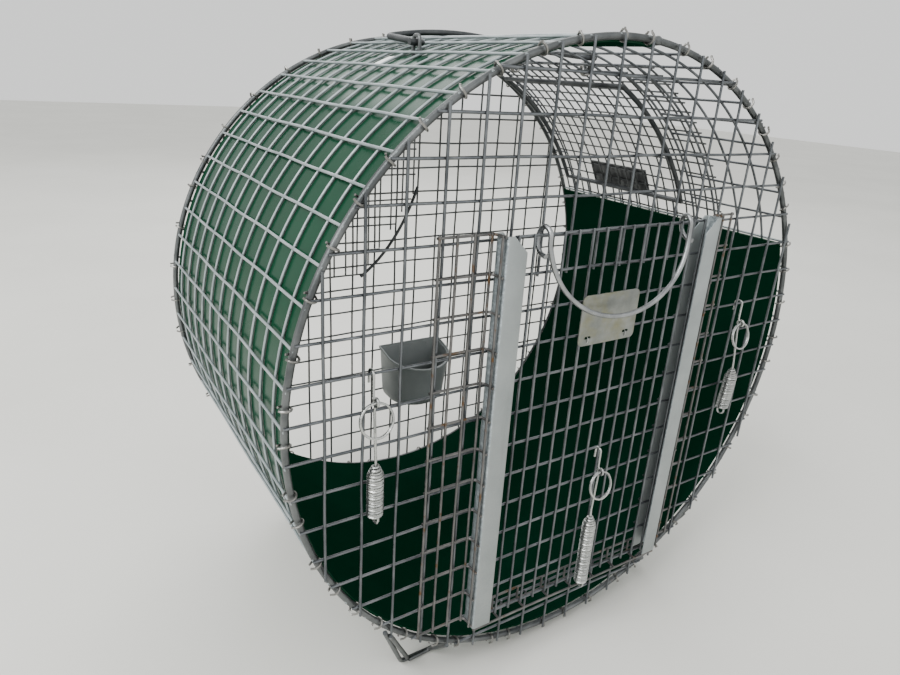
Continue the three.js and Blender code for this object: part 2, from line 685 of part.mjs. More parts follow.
// A half-round feed cup with a flat back and two hooks over a wire of the back disc.
function makeCup() {
  const back = backFront - GAP;
  const halfRound = (width, depth, inset) => {
    const shape = new THREE.Shape();
    const w = width - inset;
    shape.moveTo(-w, inset);
    shape.lineTo(w, inset);
    const straight = depth * 0.35;
    shape.lineTo(w, straight);
    for (let i = 1; i < 12; i += 1) {
      const turn = (Math.PI * i) / 12;
      shape.lineTo(w * Math.cos(turn), straight + (depth - straight - inset) * Math.sin(turn));
    }
    shape.lineTo(-w, straight);
    return shape;
  };
  const body = (inset, z0, z1) => {
    const shape = halfRound(CUP_HALF_WIDTH, CUP_DEPTH, inset);
    const solid = new THREE.ExtrudeGeometry(shape, { depth: CUP_HEIGHT, bevelEnabled: false });
    const place = solid.attributes.position;
    for (let i = 0; i < place.count; i += 1) {
      const height = place.getZ(i) / CUP_HEIGHT;
      const share = CUP_TAPER + (1 - CUP_TAPER) * height;
      place.setX(i, place.getX(i) * share);
      place.setY(i, -(place.getY(i) * share));
      const forward = Math.max(0, -place.getY(i)) / CUP_DEPTH;
      place.setZ(i, z0 + (z1 - z0) * height - CUP_RIM_DROP * forward * height);
    }
    // The outline was mirrored in y, so each triangle is turned round again.
    const order = [];
    for (let i = 0; i < place.count; i += 3) order.push(i, i + 2, i + 1);
    solid.setIndex(order);
    return solid.translate(CUP_X, back, 0);
  };
  const outer = body(0, CUP_TOP - CUP_HEIGHT, CUP_TOP);
  const inner = body(CUP_WALL, CUP_TOP - CUP_HEIGHT + CUP_WALL, CUP_TOP + 4);
  const hooks = [];
  for (const x of [CUP_X - 17, CUP_X + 15]) {
    const over = BACK_ROW + HALF_WIRE + GAP;
    const behind = backFace + GAP;
    hooks.push(box(x, x + 9, back - 2, behind + 2, over, over + 2.4));
    hooks.push(box(x, x + 9, behind, behind + 2, BACK_ROW - 5, over + 2.4));
  }
  const cup = joined([outer, ...hooks], [inner]);
  add('feed_cup', cup, 0x6b7072, 0.55, 0);
}

makeRings();
makeFrontDisc();
makeBackDisc();
makeWrap();
makeLiner();
makeChannels();
makeCollar('collar_left', -1, COLLAR_LEFT_REACH);
makeCollar('collar_right', 1, COLLAR_RIGHT_REACH);
makeSill();
makeDoor();
makeDoorPlate();
makeDoorBail();
makeSpringHooks();
makeCarryHandle();
makeStand('front_stand', ringFrontY, 1);
makeStand('back_stand', ringBackY, -1);
makeHatch();
makeHatchFrame();
makeRearPanel();
makeCup();

// The origin is under the middle of the object, on the floor.
drum.position.z = -floorZ;
const trap = new THREE.Group();
trap.add(drum);
trap.updateMatrixWorld(true);
const footprint = new THREE.Box3().setFromObject(trap).getCenter(new THREE.Vector3());
drum.position.x = -footprint.x;
drum.position.y = -footprint.y;
trap.updateMatrixWorld(true);

export default trap;
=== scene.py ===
"""Live catch trap: the visual model over the CAD frame.

Sizes are in millimetres and "drum" places have x to the right, y from the front disc
into the drum and z up from the drum's middle. at() turns them into the frame's metres.
"""

import math
import random

import bpy
from mathutils import Matrix, Vector


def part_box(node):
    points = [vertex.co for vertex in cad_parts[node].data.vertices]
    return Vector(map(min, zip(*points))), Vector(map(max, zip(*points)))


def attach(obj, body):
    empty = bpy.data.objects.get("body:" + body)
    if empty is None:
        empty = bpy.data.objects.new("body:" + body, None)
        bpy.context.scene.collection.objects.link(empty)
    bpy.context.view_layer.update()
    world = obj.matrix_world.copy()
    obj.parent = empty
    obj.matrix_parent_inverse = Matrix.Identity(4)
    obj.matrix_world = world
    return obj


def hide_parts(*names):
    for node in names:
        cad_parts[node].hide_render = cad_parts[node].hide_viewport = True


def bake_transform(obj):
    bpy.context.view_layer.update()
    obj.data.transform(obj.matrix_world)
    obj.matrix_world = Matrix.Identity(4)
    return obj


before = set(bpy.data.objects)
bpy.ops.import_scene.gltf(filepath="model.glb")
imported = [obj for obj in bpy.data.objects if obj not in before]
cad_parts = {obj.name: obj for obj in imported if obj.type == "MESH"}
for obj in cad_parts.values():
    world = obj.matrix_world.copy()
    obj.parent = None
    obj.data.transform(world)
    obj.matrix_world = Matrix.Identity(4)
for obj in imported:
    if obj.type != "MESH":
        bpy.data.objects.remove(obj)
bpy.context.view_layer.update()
random.seed(12)

# ---- driving sizes, from the frame ------------------------------------------------------
INCH = 25.4
HALF_INCH = INCH / 2
FRONT_FACE = -2.0  # where the front disc's face is in drum places

ring_low, ring_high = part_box("front_ring")
back_ring_low, back_ring_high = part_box("back_ring")
ORIGIN_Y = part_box("front_mesh")[0].y * 1000 - FRONT_FACE
ORIGIN_Z = (ring_low.z + ring_high.z) * 500
RING_WIRE = (ring_high.y - ring_low.y) * 500 * 1.12
RING_RADIUS = (ring_high.z - ring_low.z) * 500 - 2.4
RING_FRONT_Y = (ring_low.y + ring_high.y) * 500 - ORIGIN_Y
RING_BACK_Y = (back_ring_low.y + back_ring_high.y) * 500 - ORIGIN_Y
BACK_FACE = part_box("back_mesh")[1].y * 1000 - ORIGIN_Y
MESH_WIRE = 1.0  # radius of the panels' wire
CHANNEL_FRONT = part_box("channel_left")[0].y * 1000 - ORIGIN_Y
CHANNEL_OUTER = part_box("channel_right")[1].x * 1000
CHANNEL_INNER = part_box("channel_right")[0].x * 1000
CHANNEL_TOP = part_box("channel_left")[1].z * 1000 - ORIGIN_Z
CHANNEL_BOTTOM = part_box("channel_left")[0].z * 1000 - ORIGIN_Z
DOOR_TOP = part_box("door_mesh")[1].z * 1000 - ORIGIN_Z - 1.2
DOOR_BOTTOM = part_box("door_mesh")[0].z * 1000 - ORIGIN_Z + 1.2
DOOR_HALF = 3.5 * INCH
DOOR_Y = -9.0
WINDOW_LOW, WINDOW_HIGH = 26.0, 66.1  # degrees round the drum
WINDOW_FRONT, WINDOW_BACK = 4 * INCH, 11 * INCH
BACK_SHIFT = -8.0  # of the back disc's wires to the side
WRAP_BAR_RADIUS = 239.9  # middle of the wrap's straight wires
WRAP_HOOP_RADIUS = 238.3  # middle of its hoops, which lie inside the straight wires
HATCH_HOOP_RADIUS = 243.4
HATCH_BAR_RADIUS = 245.0
CUP_HALF_WIDTH = 38.0
HANDLE_ARM_X, HANDLE_CORNER_X, STAPLE_X = 80, 69, 86


def at(x, y, z):
    return Vector((x, y + ORIGIN_Y, z + ORIGIN_Z)) / 1000


def round_drum(radius, degrees, y):
    turn = math.radians(degrees)
    return at(radius * math.cos(turn), y, radius * math.sin(turn))


# ---- node groups shared by the finishes -------------------------------------------------
def new_group(name, inputs, outputs):
    group = bpy.data.node_groups.new(name, "ShaderNodeTree")
    for label, kind, value in inputs:
        socket = group.interface.new_socket(label, in_out="INPUT", socket_type=kind)
        if value is not None:
            socket.default_value = value
    for label, kind in outputs:
        group.interface.new_socket(label, in_out="OUTPUT", socket_type=kind)
    return group, group.nodes.new("NodeGroupInput"), group.nodes.new("NodeGroupOutput")


def noise_node(tree, scale, detail, rough=0.55):
    noise = tree.nodes.new("ShaderNodeTexNoise")
    noise.inputs["Scale"].default_value = scale
    noise.inputs["Detail"].default_value = detail
    noise.inputs["Roughness"].default_value = rough
    return noise


def ramp_node(tree, low, high):
    ramp = tree.nodes.new("ShaderNodeMapRange")
    ramp.inputs["From Min"].default_value = low
    ramp.inputs["From Max"].default_value = high
    return ramp


def make_patches_group():
    """Soft patches and fine specks, both as masks from 0 to 1."""
    inputs = [("Vector", "NodeSocketVector", None), ("Patch Scale", "NodeSocketFloat", 40.0)]
    inputs.append(("Speck Scale", "NodeSocketFloat", 900.0))
    outputs = [("Patches", "NodeSocketFloat"), ("Specks", "NodeSocketFloat")]
    group, source, target = new_group("patches and specks", inputs, outputs)
    for label, scale_name, low, high in (
        ("Patches", "Patch Scale", 0.36, 0.66),
        ("Specks", "Speck Scale", 0.3, 0.7),
    ):
        noise = noise_node(group, 40, 4)
        spread = ramp_node(group, low, high)
        group.links.new(source.outputs["Vector"], noise.inputs["Vector"])
        group.links.new(source.outputs[scale_name], noise.inputs["Scale"])
        group.links.new(noise.outputs["Fac"], spread.inputs["Value"])
        group.links.new(spread.outputs["Result"], target.inputs[label])
    return group


def make_spangle_group():
    """The crystal pattern of hot zinc: flat cells, each with its own grey."""
    inputs = [("Vector", "NodeSocketVector", None), ("Scale", "NodeSocketFloat", 160.0)]
    group, source, target = new_group("zinc spangle", inputs, [("Cells", "NodeSocketFloat")])
    bend = noise_node(group, 130, 3)
    shift = group.nodes.new("ShaderNodeVectorMath")
    shift.operation = "MULTIPLY_ADD"
    shift.inputs[1].default_value = (0.012, 0.012, 0.012)
    cells = group.nodes.new("ShaderNodeTexVoronoi")
    cells.feature = "F1"
    split = group.nodes.new("ShaderNodeSeparateColor")
    group.links.new(source.outputs["Vector"], bend.inputs["Vector"])
    group.links.new(bend.outputs["Color"], shift.inputs[0])
    group.links.new(source.outputs["Vector"], shift.inputs[2])
    group.links.new(shift.outputs["Vector"], cells.inputs["Vector"])
    group.links.new(source.outputs["Scale"], cells.inputs["Scale"])
    group.links.new(cells.outputs["Color"], split.inputs["Color"])
    group.links.new(split.outputs["Red"], target.inputs["Cells"])
    return group


patches_group = make_patches_group()
spangle_group = make_spangle_group()


class Finish:
    """A material with one Principled shader on Object coordinates."""

    def __init__(self, name, roughness, metallic):
        self.material = bpy.data.materials.new(name)
        self.material.use_nodes = True
        self.tree = self.material.node_tree
        self.shader = self.tree.nodes["Principled BSDF"]
        self.shader.inputs["Roughness"].default_value = roughness
        self.shader.inputs["Metallic"].default_value = metallic
        self.place = self.tree.nodes.new("ShaderNodeTexCoord").outputs["Object"]

    def group(self, group, **values):
        node = self.tree.nodes.new("ShaderNodeGroup")
        node.node_tree = group
        self.tree.links.new(self.place, node.inputs["Vector"])
        for label, value in values.items():
            node.inputs[label.replace("_", " ")].default_value = value
        return node

    def mix(self, share, low, high):
        """A colour between two others, which may be colours or sockets."""
        node = self.tree.nodes.new("ShaderNodeMix")
        node.data_type = "RGBA"
        self.tree.links.new(share, node.inputs["Factor"])
        for socket, value in ((node.inputs["A"], low), (node.inputs["B"], high)):
            self.feed(socket, value)
        return node.outputs["Result"]

    def feed(self, socket, value):
        if isinstance(value, bpy.types.NodeSocket):
            self.tree.links.new(value, socket)
        else:
            socket.default_value = (*value, 1)

    def sized(self, share, low, high):
        node = ramp_node(self.tree, 0, 1)
        node.inputs["To Min"].default_value = low
        node.inputs["To Max"].default_value = high
        self.tree.links.new(share, node.inputs["Value"])
        return node.outputs["Result"]

    def masked(self, scale, low, high, detail=3, stretch=None):
        """A noise mask of its own, stretched where a direction is given."""
        noise = noise_node(self.tree, scale, detail)
        place = self.place
        if stretch:
            mapping = self.tree.nodes.new("ShaderNodeMapping")
            mapping.inputs["Scale"].default_value = stretch
            self.tree.links.new(place, mapping.inputs["Vector"])
            place = mapping.outputs["Vector"]
        self.tree.links.new(place, noise.inputs["Vector"])
        spread = ramp_node(self.tree, low, high)
        self.tree.links.new(noise.outputs["Fac"], spread.inputs["Value"])
        return spread.outputs["Result"]

    def times(self, share, factor):
        node = self.tree.nodes.new("ShaderNodeMath")
        node.operation = "MULTIPLY"
        self.tree.links.new(share, node.inputs[0])
        node.inputs[1].default_value = factor
        return node.outputs["Value"]

    def colour(self, socket):
        self.tree.links.new(socket, self.shader.inputs["Base Color"])

    def rough(self, socket):
        self.tree.links.new(socket, self.shader.inputs["Roughness"])

    def bump(self, height, depth, strength=0.6):
        node = self.tree.nodes.new("ShaderNodeBump")
        node.inputs["Distance"].default_value = depth / 1000
        node.inputs["Strength"].default_value = strength
        self.tree.links.new(height, node.inputs["Height"])
        self.tree.links.new(node.outputs["Normal"], self.shader.inputs["Normal"])


RUST = (0.135, 0.075, 0.034)


def galvanised(name, dark, light, roughness, rust_from, metallic=0.9):
    """Zinc-coated wire: cloudy grey, fine grit, and rust where rust_from is passed."""
    finish = Finish(name, roughness, metallic)
    masks = finish.group(patches_group, Patch_Scale=55, Speck_Scale=1500)
    grey = finish.mix(masks.outputs["Patches"], dark, light)
    rust = finish.masked(120, rust_from, rust_from + 0.12, detail=5)
    finish.colour(finish.mix(rust, grey, RUST))
    finish.rough(finish.sized(masks.outputs["Specks"], roughness - 0.1, roughness + 0.16))
    finish.bump(masks.outputs["Specks"], 0.12)
    return finish.material


def make_zinc_web():
    """The mottled zinc of the channels' sides: small bright and dark crystals."""
    finish = Finish("mottled zinc sheet", 0.4, 0.5)
    cells = finish.group(spangle_group, Scale=620).outputs["Cells"]
    blotches = finish.masked(330, 0.35, 0.62, detail=4)
    grey = finish.mix(cells, (0.30, 0.345, 0.37), (0.52, 0.58, 0.60))
    finish.colour(finish.mix(finish.times(blotches, 0.55), grey, (0.15, 0.17, 0.18)))
    finish.rough(finish.sized(cells, 0.3, 0.5))
    finish.bump(blotches, 0.05, 0.5)
    return finish.material


def make_zinc_flange():
    """The channels' satin fronts: even grey with faint scuffs along the fold."""
    finish = Finish("satin zinc sheet", 0.45, 0.55)
    masks = finish.group(patches_group, Patch_Scale=26, Speck_Scale=900)
    grey = finish.mix(masks.outputs["Patches"], (0.27, 0.295, 0.295), (0.325, 0.35, 0.35))
    scuffs = finish.masked(70, 0.58, 0.74, stretch=(1, 1, 0.1))
    finish.colour(finish.mix(finish.times(scuffs, 0.5), grey, (0.20, 0.215, 0.215)))
    finish.rough(finish.sized(masks.outputs["Specks"], 0.38, 0.55))
    finish.bump(masks.outputs["Specks"], 0.04, 0.5)
    return finish.material


def make_liner_plastic(name, low, high, dusty, shine):
    """Glossy sheet, dulled by thin dust in patches and not quite flat."""
    finish = Finish(name, 0.24, 0)
    masks = finish.group(patches_group, Patch_Scale=7, Speck_Scale=1100)
    green = finish.mix(masks.outputs["Patches"], low, high)
    dust = finish.masked(30, 0.50, 0.85, detail=6)
    finish.colour(finish.mix(finish.times(dust, dusty), green, (0.13, 0.17, 0.14)))
    finish.rough(finish.sized(dust, 0.2, 0.4))
    waves = finish.masked(9, 0.3, 0.7, detail=2, stretch=(1, 0.35, 1))
    finish.bump(waves, 0.9, 0.5)
    finish.shader.inputs["Specular IOR Level"].default_value = shine
    return finish.material


def make_cup_plastic():
    finish = Finish("grey cup plastic", 0.5, 0)
    masks = finish.group(patches_group, Patch_Scale=35, Speck_Scale=1800)
    grey = finish.mix(masks.outputs["Patches"], (0.205, 0.225, 0.225), (0.250, 0.272, 0.272))
    finish.colour(grey)
    finish.rough(finish.sized(masks.outputs["Specks"], 0.42, 0.62))
    finish.bump(masks.outputs["Specks"], 0.06, 0.5)
    return finish.material


def make_plate_metal(name, dark, light, stain, stain_from):
    finish = Finish(name, 0.4, 0.75)
    masks = finish.group(patches_group, Patch_Scale=70, Speck_Scale=1300)
    grey = finish.mix(masks.outputs["Patches"], dark, light)
    stained = finish.masked(60, stain_from, stain_from + 0.2, detail=5)
    finish.colour(finish.mix(finish.times(stained, 0.7), grey, stain))
    brushed = finish.masked(260, 0.3, 0.7, detail=2, stretch=(0.08, 1, 1))
    finish.rough(finish.sized(brushed, 0.3, 0.52))
    finish.bump(finish.masked(130, 0.25, 0.75, detail=2), 0.5, 0.5)
    return finish.material


def make_sticker_paper():
    finish = Finish("white sticker paper", 0.6, 0)
    masks = finish.group(patches_group, Patch_Scale=120, Speck_Scale=2500)
    white = finish.mix(masks.outputs["Patches"], (0.84, 0.84, 0.82), (0.90, 0.90, 0.89))
    finish.colour(white)
    finish.bump(masks.outputs["Specks"], 0.03, 0.4)
    return finish.material


mesh_wire_zinc = galvanised("mesh wire zinc", (0.085, 0.092, 0.10), (0.175, 0.186, 0.197), 0.34, 0.72)
# The outer wrap copy is lighter only as painted light on the wires over the liner.
wrap_wire_painted_light = galvanised("outer wrap zinc painted light", (0.27, 0.31, 0.32), (0.40, 0.44, 0.45), 0.42, 0.78, 0.6)
back_wire_zinc = galvanised("shaded mesh wire", (0.07, 0.074, 0.075), (0.13, 0.135, 0.135), 0.45, 0.74)
collar_zinc = galvanised("rusted collar wire", (0.10, 0.10, 0.10), (0.19, 0.185, 0.18), 0.48, 0.58)
ring_zinc = galvanised("ring rod zinc", (0.08, 0.086, 0.088), (0.155, 0.163, 0.165), 0.4, 0.73)
handle_zinc = galvanised("weathered handle rod", (0.05, 0.054, 0.058), (0.10, 0.106, 0.108), 0.5, 0.72)
bright_zinc = galvanised("bright spring wire", (0.34, 0.35, 0.345), (0.52, 0.53, 0.51), 0.26, 0.88, 1)
bail_zinc = galvanised("door bail wire", (0.22, 0.228, 0.235), (0.36, 0.37, 0.375), 0.32, 0.82, 1)
clip_zinc = galvanised("clip wire", (0.16, 0.157, 0.148), (0.30, 0.296, 0.28), 0.34, 0.76, 1)
hatch_zinc = galvanised("hatch mesh zinc", (0.07, 0.075, 0.076), (0.14, 0.146, 0.148), 0.45, 0.76)
zinc_web = make_zinc_web()
zinc_flange = make_zinc_flange()
liner_outside = make_liner_plastic(
    "green liner outside", (0.0030, 0.034, 0.0155), (0.0042, 0.043, 0.020), 0.03, 0.07
)
# The inside copy is a darker green only as painted shade: the same sheet, less lit inside the drum.
liner_inside_painted_shade = make_liner_plastic(
    "green liner inside painted shade", (0.0010, 0.0210, 0.0100), (0.0016, 0.0270, 0.0132), 0.004, 0.0
)
cup_plastic = make_cup_plastic()
sticker_paper = make_sticker_paper()
plate_metal = make_plate_metal(
    "stained door plate", (0.18, 0.19, 0.177), (0.27, 0.28, 0.262), (0.21, 0.20, 0.10), 0.46
)
hatch_metal = make_plate_metal(
    "dark hatch plate", (0.06, 0.064, 0.067), (0.11, 0.114, 0.116), (0.13, 0.13, 0.12), 0.6
)


# ---- modelling helpers ------------------------------------------------------------------
def deselect():
    if bpy.context.object and bpy.context.object.mode != "OBJECT":
        bpy.ops.object.mode_set(mode="OBJECT")
    bpy.ops.object.select_all(action="DESELECT")


def tidy_mesh(piece):
    """Merges doubled points and turns every face outwards."""
    deselect()
    piece.select_set(True)
    bpy.context.view_layer.objects.active = piece
    bpy.ops.object.mode_set(mode="EDIT")
    bpy.ops.mesh.select_all(action="SELECT")
    bpy.ops.mesh.remove_doubles(threshold=0.00001)
    bpy.ops.mesh.normals_make_consistent(inside=False)
    bpy.ops.object.mode_set(mode="OBJECT")


def smooth(piece, degrees=50):
    deselect()
    piece.select_set(True)
    bpy.context.view_layer.objects.active = piece
    bpy.ops.object.shade_smooth_by_angle(angle=math.radians(degrees))


def wires(name, routes, radius, sides=8, closed=False):
    """Round wires along routes of drum places in metres, as one mesh."""
    deselect()
    bpy.ops.curve.primitive_bezier_curve_add(location=(0, 0, 0))
    line = bpy.context.object
    line.name = name
    line.data.name = name
    line.data.splines.clear()
    for route in routes:
        spline = line.data.splines.new("POLY")
        spline.points.add(len(route) - 1)
        for point, place in zip(spline.points, route):
            point.co = (*place, 1)
        spline.use_cyclic_u = closed
    line.data.bevel_depth = radius / 1000
    line.data.bevel_resolution = (sides - 4) // 2
    line.data.use_fill_caps = True
    line.data.twist_mode = "MINIMUM"
    bpy.ops.object.convert(target="MESH")
    piece = bpy.context.object
    piece.data.name = name
    tidy_mesh(piece)
    smooth(piece)
    return piece


def open_outline(name, outline):
    """An outline as a mesh of edges, left selected in edit mode to be drawn out."""
    deselect()
    bpy.ops.curve.primitive_bezier_curve_add(location=(0, 0, 0))
    line = bpy.context.object
    line.data.splines.clear()
    spline = line.data.splines.new("POLY")
    spline.points.add(len(outline) - 1)
    for point, place in zip(spline.points, outline):
        point.co = (*place, 1)
    bpy.ops.object.convert(target="MESH")
    piece = bpy.context.object
    piece.name = name
    piece.data.name = name
    bpy.ops.object.mode_set(mode="EDIT")
    bpy.ops.mesh.select_all(action="SELECT")
    return piece


def join(name, pieces):
    deselect()
    for piece in pieces:
        piece.select_set(True)
    bpy.context.view_layer.objects.active = pieces[0]
    bpy.ops.object.join()
    bpy.context.object.name = name
    bpy.context.object.data.name = name
    return bpy.context.object


def copies(name, model, turns):
    """Copies of one piece, each with its own mesh and place, joined into one."""
    made = []
    for turn in turns:
        other = model.copy()
        other.data = model.data.copy()
        bpy.context.scene.collection.objects.link(other)
        other.data.transform(turn)
        made.append(other)
    bpy.data.objects.remove(model)
    return join(name, made)


def apply_modifier(piece, kind, **values):
    deselect()
    piece.select_set(True)
    bpy.context.view_layer.objects.active = piece
    modifier = piece.modifiers.new(kind.lower(), kind)
    for label, value in values.items():
        setattr(modifier, label, value)
    bpy.ops.object.modifier_apply(modifier=modifier.name)


def finish_piece(piece, material, body, *nodes):
    piece.data.materials.clear()
    piece.data.materials.append(material)
    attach(piece, body)
    if nodes:
        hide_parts(*nodes)
    return piece


def second_finish(piece, material, chosen):
    """Gives the faces that chosen() picks another material."""
    piece.data.materials.append(material)
    for face in piece.data.polygons:
        if chosen(face):
            face.material_index = 1


def rounded(points, corner, steps=6):
    """Straight runs whose corners are turned into short curves."""
    route = [Vector(points[0])]
    for before, middle, after in zip(points, points[1:], points[2:]):
        into = Vector(middle) - Vector(before)
        out = Vector(after) - Vector(middle)
        trim = min(corner / 1000, into.length / 2.1, out.length / 2.1)
        start = Vector(middle) - into.normalized() * trim
        end = Vector(middle) + out.normalized() * trim
        for i in range(steps + 1):
            t = i / steps
            route.append(start * (1 - t) ** 2 + Vector(middle) * 2 * t * (1 - t) + end * t * t)
    route.append(Vector(points[-1]))
    return route


def wavy(start, end, step, sway):
    """A nearly straight wire: small sideways sways, never more than sway millimetres."""
    count = max(2, round((end - start).length * 1000 / step))
    lean = random.uniform(0, 6.28)
    length = random.uniform(90, 170)
    route = []
    for i in range(count + 1):
        t = i / count
        along = t * (end - start).length * 1000
        swing = sway * math.sin(along / length * 6.28 + lean) / 1000
        off = Vector((swing, 0.3 * swing, swing)) * math.sin(math.pi * t)
        route.append(start.lerp(end, t) + off)
    return route


def chord(radius, offset):
    return math.sqrt(max(radius * radius - offset * offset, 0))


# ---- the discs --------------------------------------------------------------------------
def make_front_disc():
    """One inch mesh, cut out behind the door, its ends running to just past the front ring."""
    reach = RING_RADIUS + 1.5
    low, high = -7.5 * INCH, 3.5 * INCH
    routes = []
    for i in range(18):
        x = INCH * (i - 8.5)
        top = chord(reach, x)
        if abs(x) < 3 * INCH + 1:
            routes.append(wavy(at(x, -1, high - 1.5), at(x, -1, top), 9, 0.35))
            routes.append(wavy(at(x, -1, -top), at(x, -1, low + 1.5), 9, 0.2))
        else:
            routes.append(wavy(at(x, -1, -top), at(x, -1, top), 9, 0.4))
    for j in range(18):
        z = INCH * (8.5 - j)
        side = chord(reach, z)
        if low + 1 < z < high - 1:
            for way in (-1, 1):
                edge = way * (3.5 * INCH - 2)
                routes.append(wavy(at(edge, 0.7, z), at(way * side, 0.7, z), 9, 0.3))
        else:
            routes.append(wavy(at(-side, 0.7, z), at(side, 0.7, z), 9, 0.4))
    piece = wires("front_disc_mesh", routes, MESH_WIRE)
    finish_piece(piece, mesh_wire_zinc, "cage", "front_mesh")


def make_back_disc():
    reach = RING_RADIUS + 1
    routes = []
    for k in range(-9, 10):
        x = INCH * k + BACK_SHIFT
        side = chord(reach, x)
        if side > INCH:
            routes.append(wavy(at(x, BACK_FACE - 0.8, -side), at(x, BACK_FACE - 0.8, side), 12, 0.4))
    for k in range(-9, 9):
        z = INCH * (k + 0.5)
        side = chord(reach, z)
        routes.append(wavy(at(-side, BACK_FACE - 2.4, z), at(side, BACK_FACE - 2.4, z), 12, 0.4))
    piece = wires("back_disc_mesh", routes, MESH_WIRE)
    finish_piece(piece, back_wire_zinc, "cage", "back_mesh")


def make_ring(name, y, gap_at, node):
    """A rod ring whose two ends meet with a narrow gap and a weld."""
    routes = []
    route = []
    for i in range(241):
        degrees = gap_at + 0.12 + 359.76 * i / 240
        sway = 0.25 * math.sin(math.radians(5 * degrees)) + 0.2 * math.sin(math.radians(3 * degrees))
        route.append(round_drum(RING_RADIUS + sway, degrees, y))
    routes.append(route)
    rod = wires(name, routes, RING_WIRE, sides=12)
    weld_at = round_drum(RING_RADIUS, gap_at, y)
    deselect()
    bpy.ops.mesh.primitive_ico_sphere_add(subdivisions=3, radius=0.0031, location=weld_at)
    weld = bpy.context.object
    bpy.ops.object.mode_set(mode="EDIT")
    bpy.ops.transform.resize(value=(1.25, 0.98, 0.98), center_override=weld_at)
    bpy.ops.transform.vertex_random(offset=0.0002, seed=4)
    bpy.ops.object.mode_set(mode="OBJECT")
    bpy.ops.object.transform_apply(location=True, rotation=True, scale=True)
    smooth(weld, 60)
    piece = join(name, [rod, weld])
    finish_piece(piece, ring_zinc, "cage", node)


def clip_model(loop, wire, spread):
    """One hog-ring clip: a C of wire round the ring, its two ends left sticking out."""
    route = [Vector((loop * 0.75 + spread, -1.1, 0.4)) / 1000]
    for i in range(13):
        turn = math.radians(28 + 304 * i / 12)
        route.append(Vector((loop * math.cos(turn), loop * math.sin(turn) * -1, 0.8 - i * 0.13)) / 1000)
    route.append(Vector((loop * 0.75 + spread * 0.8, 1.6, -0.9)) / 1000)
    return wires("clip_model", [rounded(route, 1.2, 2)], wire, sides=6)


def clip_turn(degrees, y, radius, tilt):
    """Moves a clip's x to the drum's radius, its y to the drum's axis, at an angle."""
    out = Vector((math.cos(math.radians(degrees)), 0, math.sin(math.radians(degrees))))
    axis = Vector((0, 1, 0))
    along = out.cross(axis)
    turn = Matrix((
        (out.x, axis.x, along.x, 0),
        (out.y, axis.y, along.y, 0),
        (out.z, axis.z, along.z, 0),
        (0, 0, 0, 1),
    ))
    place = round_drum(radius, degrees, y)
    return Matrix.Translation(place) @ Matrix.Rotation(tilt, 4, out) @ turn


def make_ring_clips():
    for name, y, count in (
        ("front_ring_clips", RING_FRONT_Y - 0.9, 50),
        ("back_ring_clips", RING_BACK_Y + 1, 44),
    ):
        turns = []
        for i in range(count):
            degrees = 360 * i / count + random.uniform(-1.3, 1.3)
            turns.append(clip_turn(degrees, y, RING_RADIUS + 0.4, random.uniform(-0.5, 0.5)))
        piece = copies(name, clip_model(3.75, 0.8, 1.7), turns)
        finish_piece(piece, clip_zinc, "cage")


# ---- the wrap and the liner ---------------------------------------------------------------
def in_window(degrees):
    return WINDOW_LOW < degrees < WINDOW_HIGH


def over_liner(place):
    """The wires over the liner get a lighter zinc copy: painted light standing in for the light of its
    glossy face.
    """
    degrees = math.degrees(math.atan2(place.z - ORIGIN_Z / 1000, place.x)) % 360
    return 84 < degrees or degrees < 22


def make_wrap():
    """One inch mesh round the drum, with a window cut out under the hatch."""
    front, back = RING_FRONT_Y - 2, RING_BACK_Y + 2
    routes = []
    for k in range(60):
        degrees = 3.5 + 6 * k
        spans = [(front, back)]
        if in_window(degrees):
            spans = [(front, WINDOW_FRONT + 1), (WINDOW_BACK - 1, back)]
        for y0, y1 in spans:
            start = round_drum(WRAP_BAR_RADIUS, degrees, y0)
            end = round_drum(WRAP_BAR_RADIUS, degrees, y1)
            routes.append(wavy(start, end, 14, 0.25))
    for degrees in (WINDOW_LOW, WINDOW_HIGH):
        start = round_drum(WRAP_BAR_RADIUS, degrees, WINDOW_FRONT - 1)
        end = round_drum(WRAP_BAR_RADIUS, degrees, WINDOW_BACK + 1)
        routes.append(wavy(start, end, 14, 0.1))
    for k in range(1, 12):
        y = k * INCH
        cut = WINDOW_FRONT + 1 < y < WINDOW_BACK - 1
        first, last = (WINDOW_HIGH - 0.3, WINDOW_LOW + 360.3) if cut else (3.5, 363.5)
        count = round((last - first) / 2)
        routes.append([
            round_drum(WRAP_HOOP_RADIUS, first + (last - first) * i / count, y)
            for i in range(count + 1)
        ])
    piece = wires("wrap_mesh", routes, MESH_WIRE)
    finish_piece(piece, wrap_wire_painted_light, "cage", "barrel_mesh")
    # Wires away from the liner get the darker zinc; those over it keep the lighter copy, painted light.
    second_finish(piece, mesh_wire_zinc, lambda face: not over_liner(face.center))


def sheet_round_drum(name, radius, thick, first, last, y0, y1, step, rows):
    """A thin sheet bent to the drum: a grid, rolled up and given its thickness."""
    deselect()
    columns = max(2, round((last - first) / step))
    bpy.ops.mesh.primitive_grid_add(x_subdivisions=columns, y_subdivisions=rows, size=1)
    piece = bpy.context.object
    piece.name = name
    piece.data.name = name
    for vertex in piece.data.vertices:
        degrees = first + (last - first) * (0.5 - vertex.co.x)
        y = y0 + (y1 - y0) * (vertex.co.y + 0.5)
        vertex.co = round_drum(radius, degrees, y)
    apply_modifier(piece, "SOLIDIFY", thickness=thick / 1000, offset=-1)
    tidy_mesh(piece)
    smooth(piece, 40)
    return piece


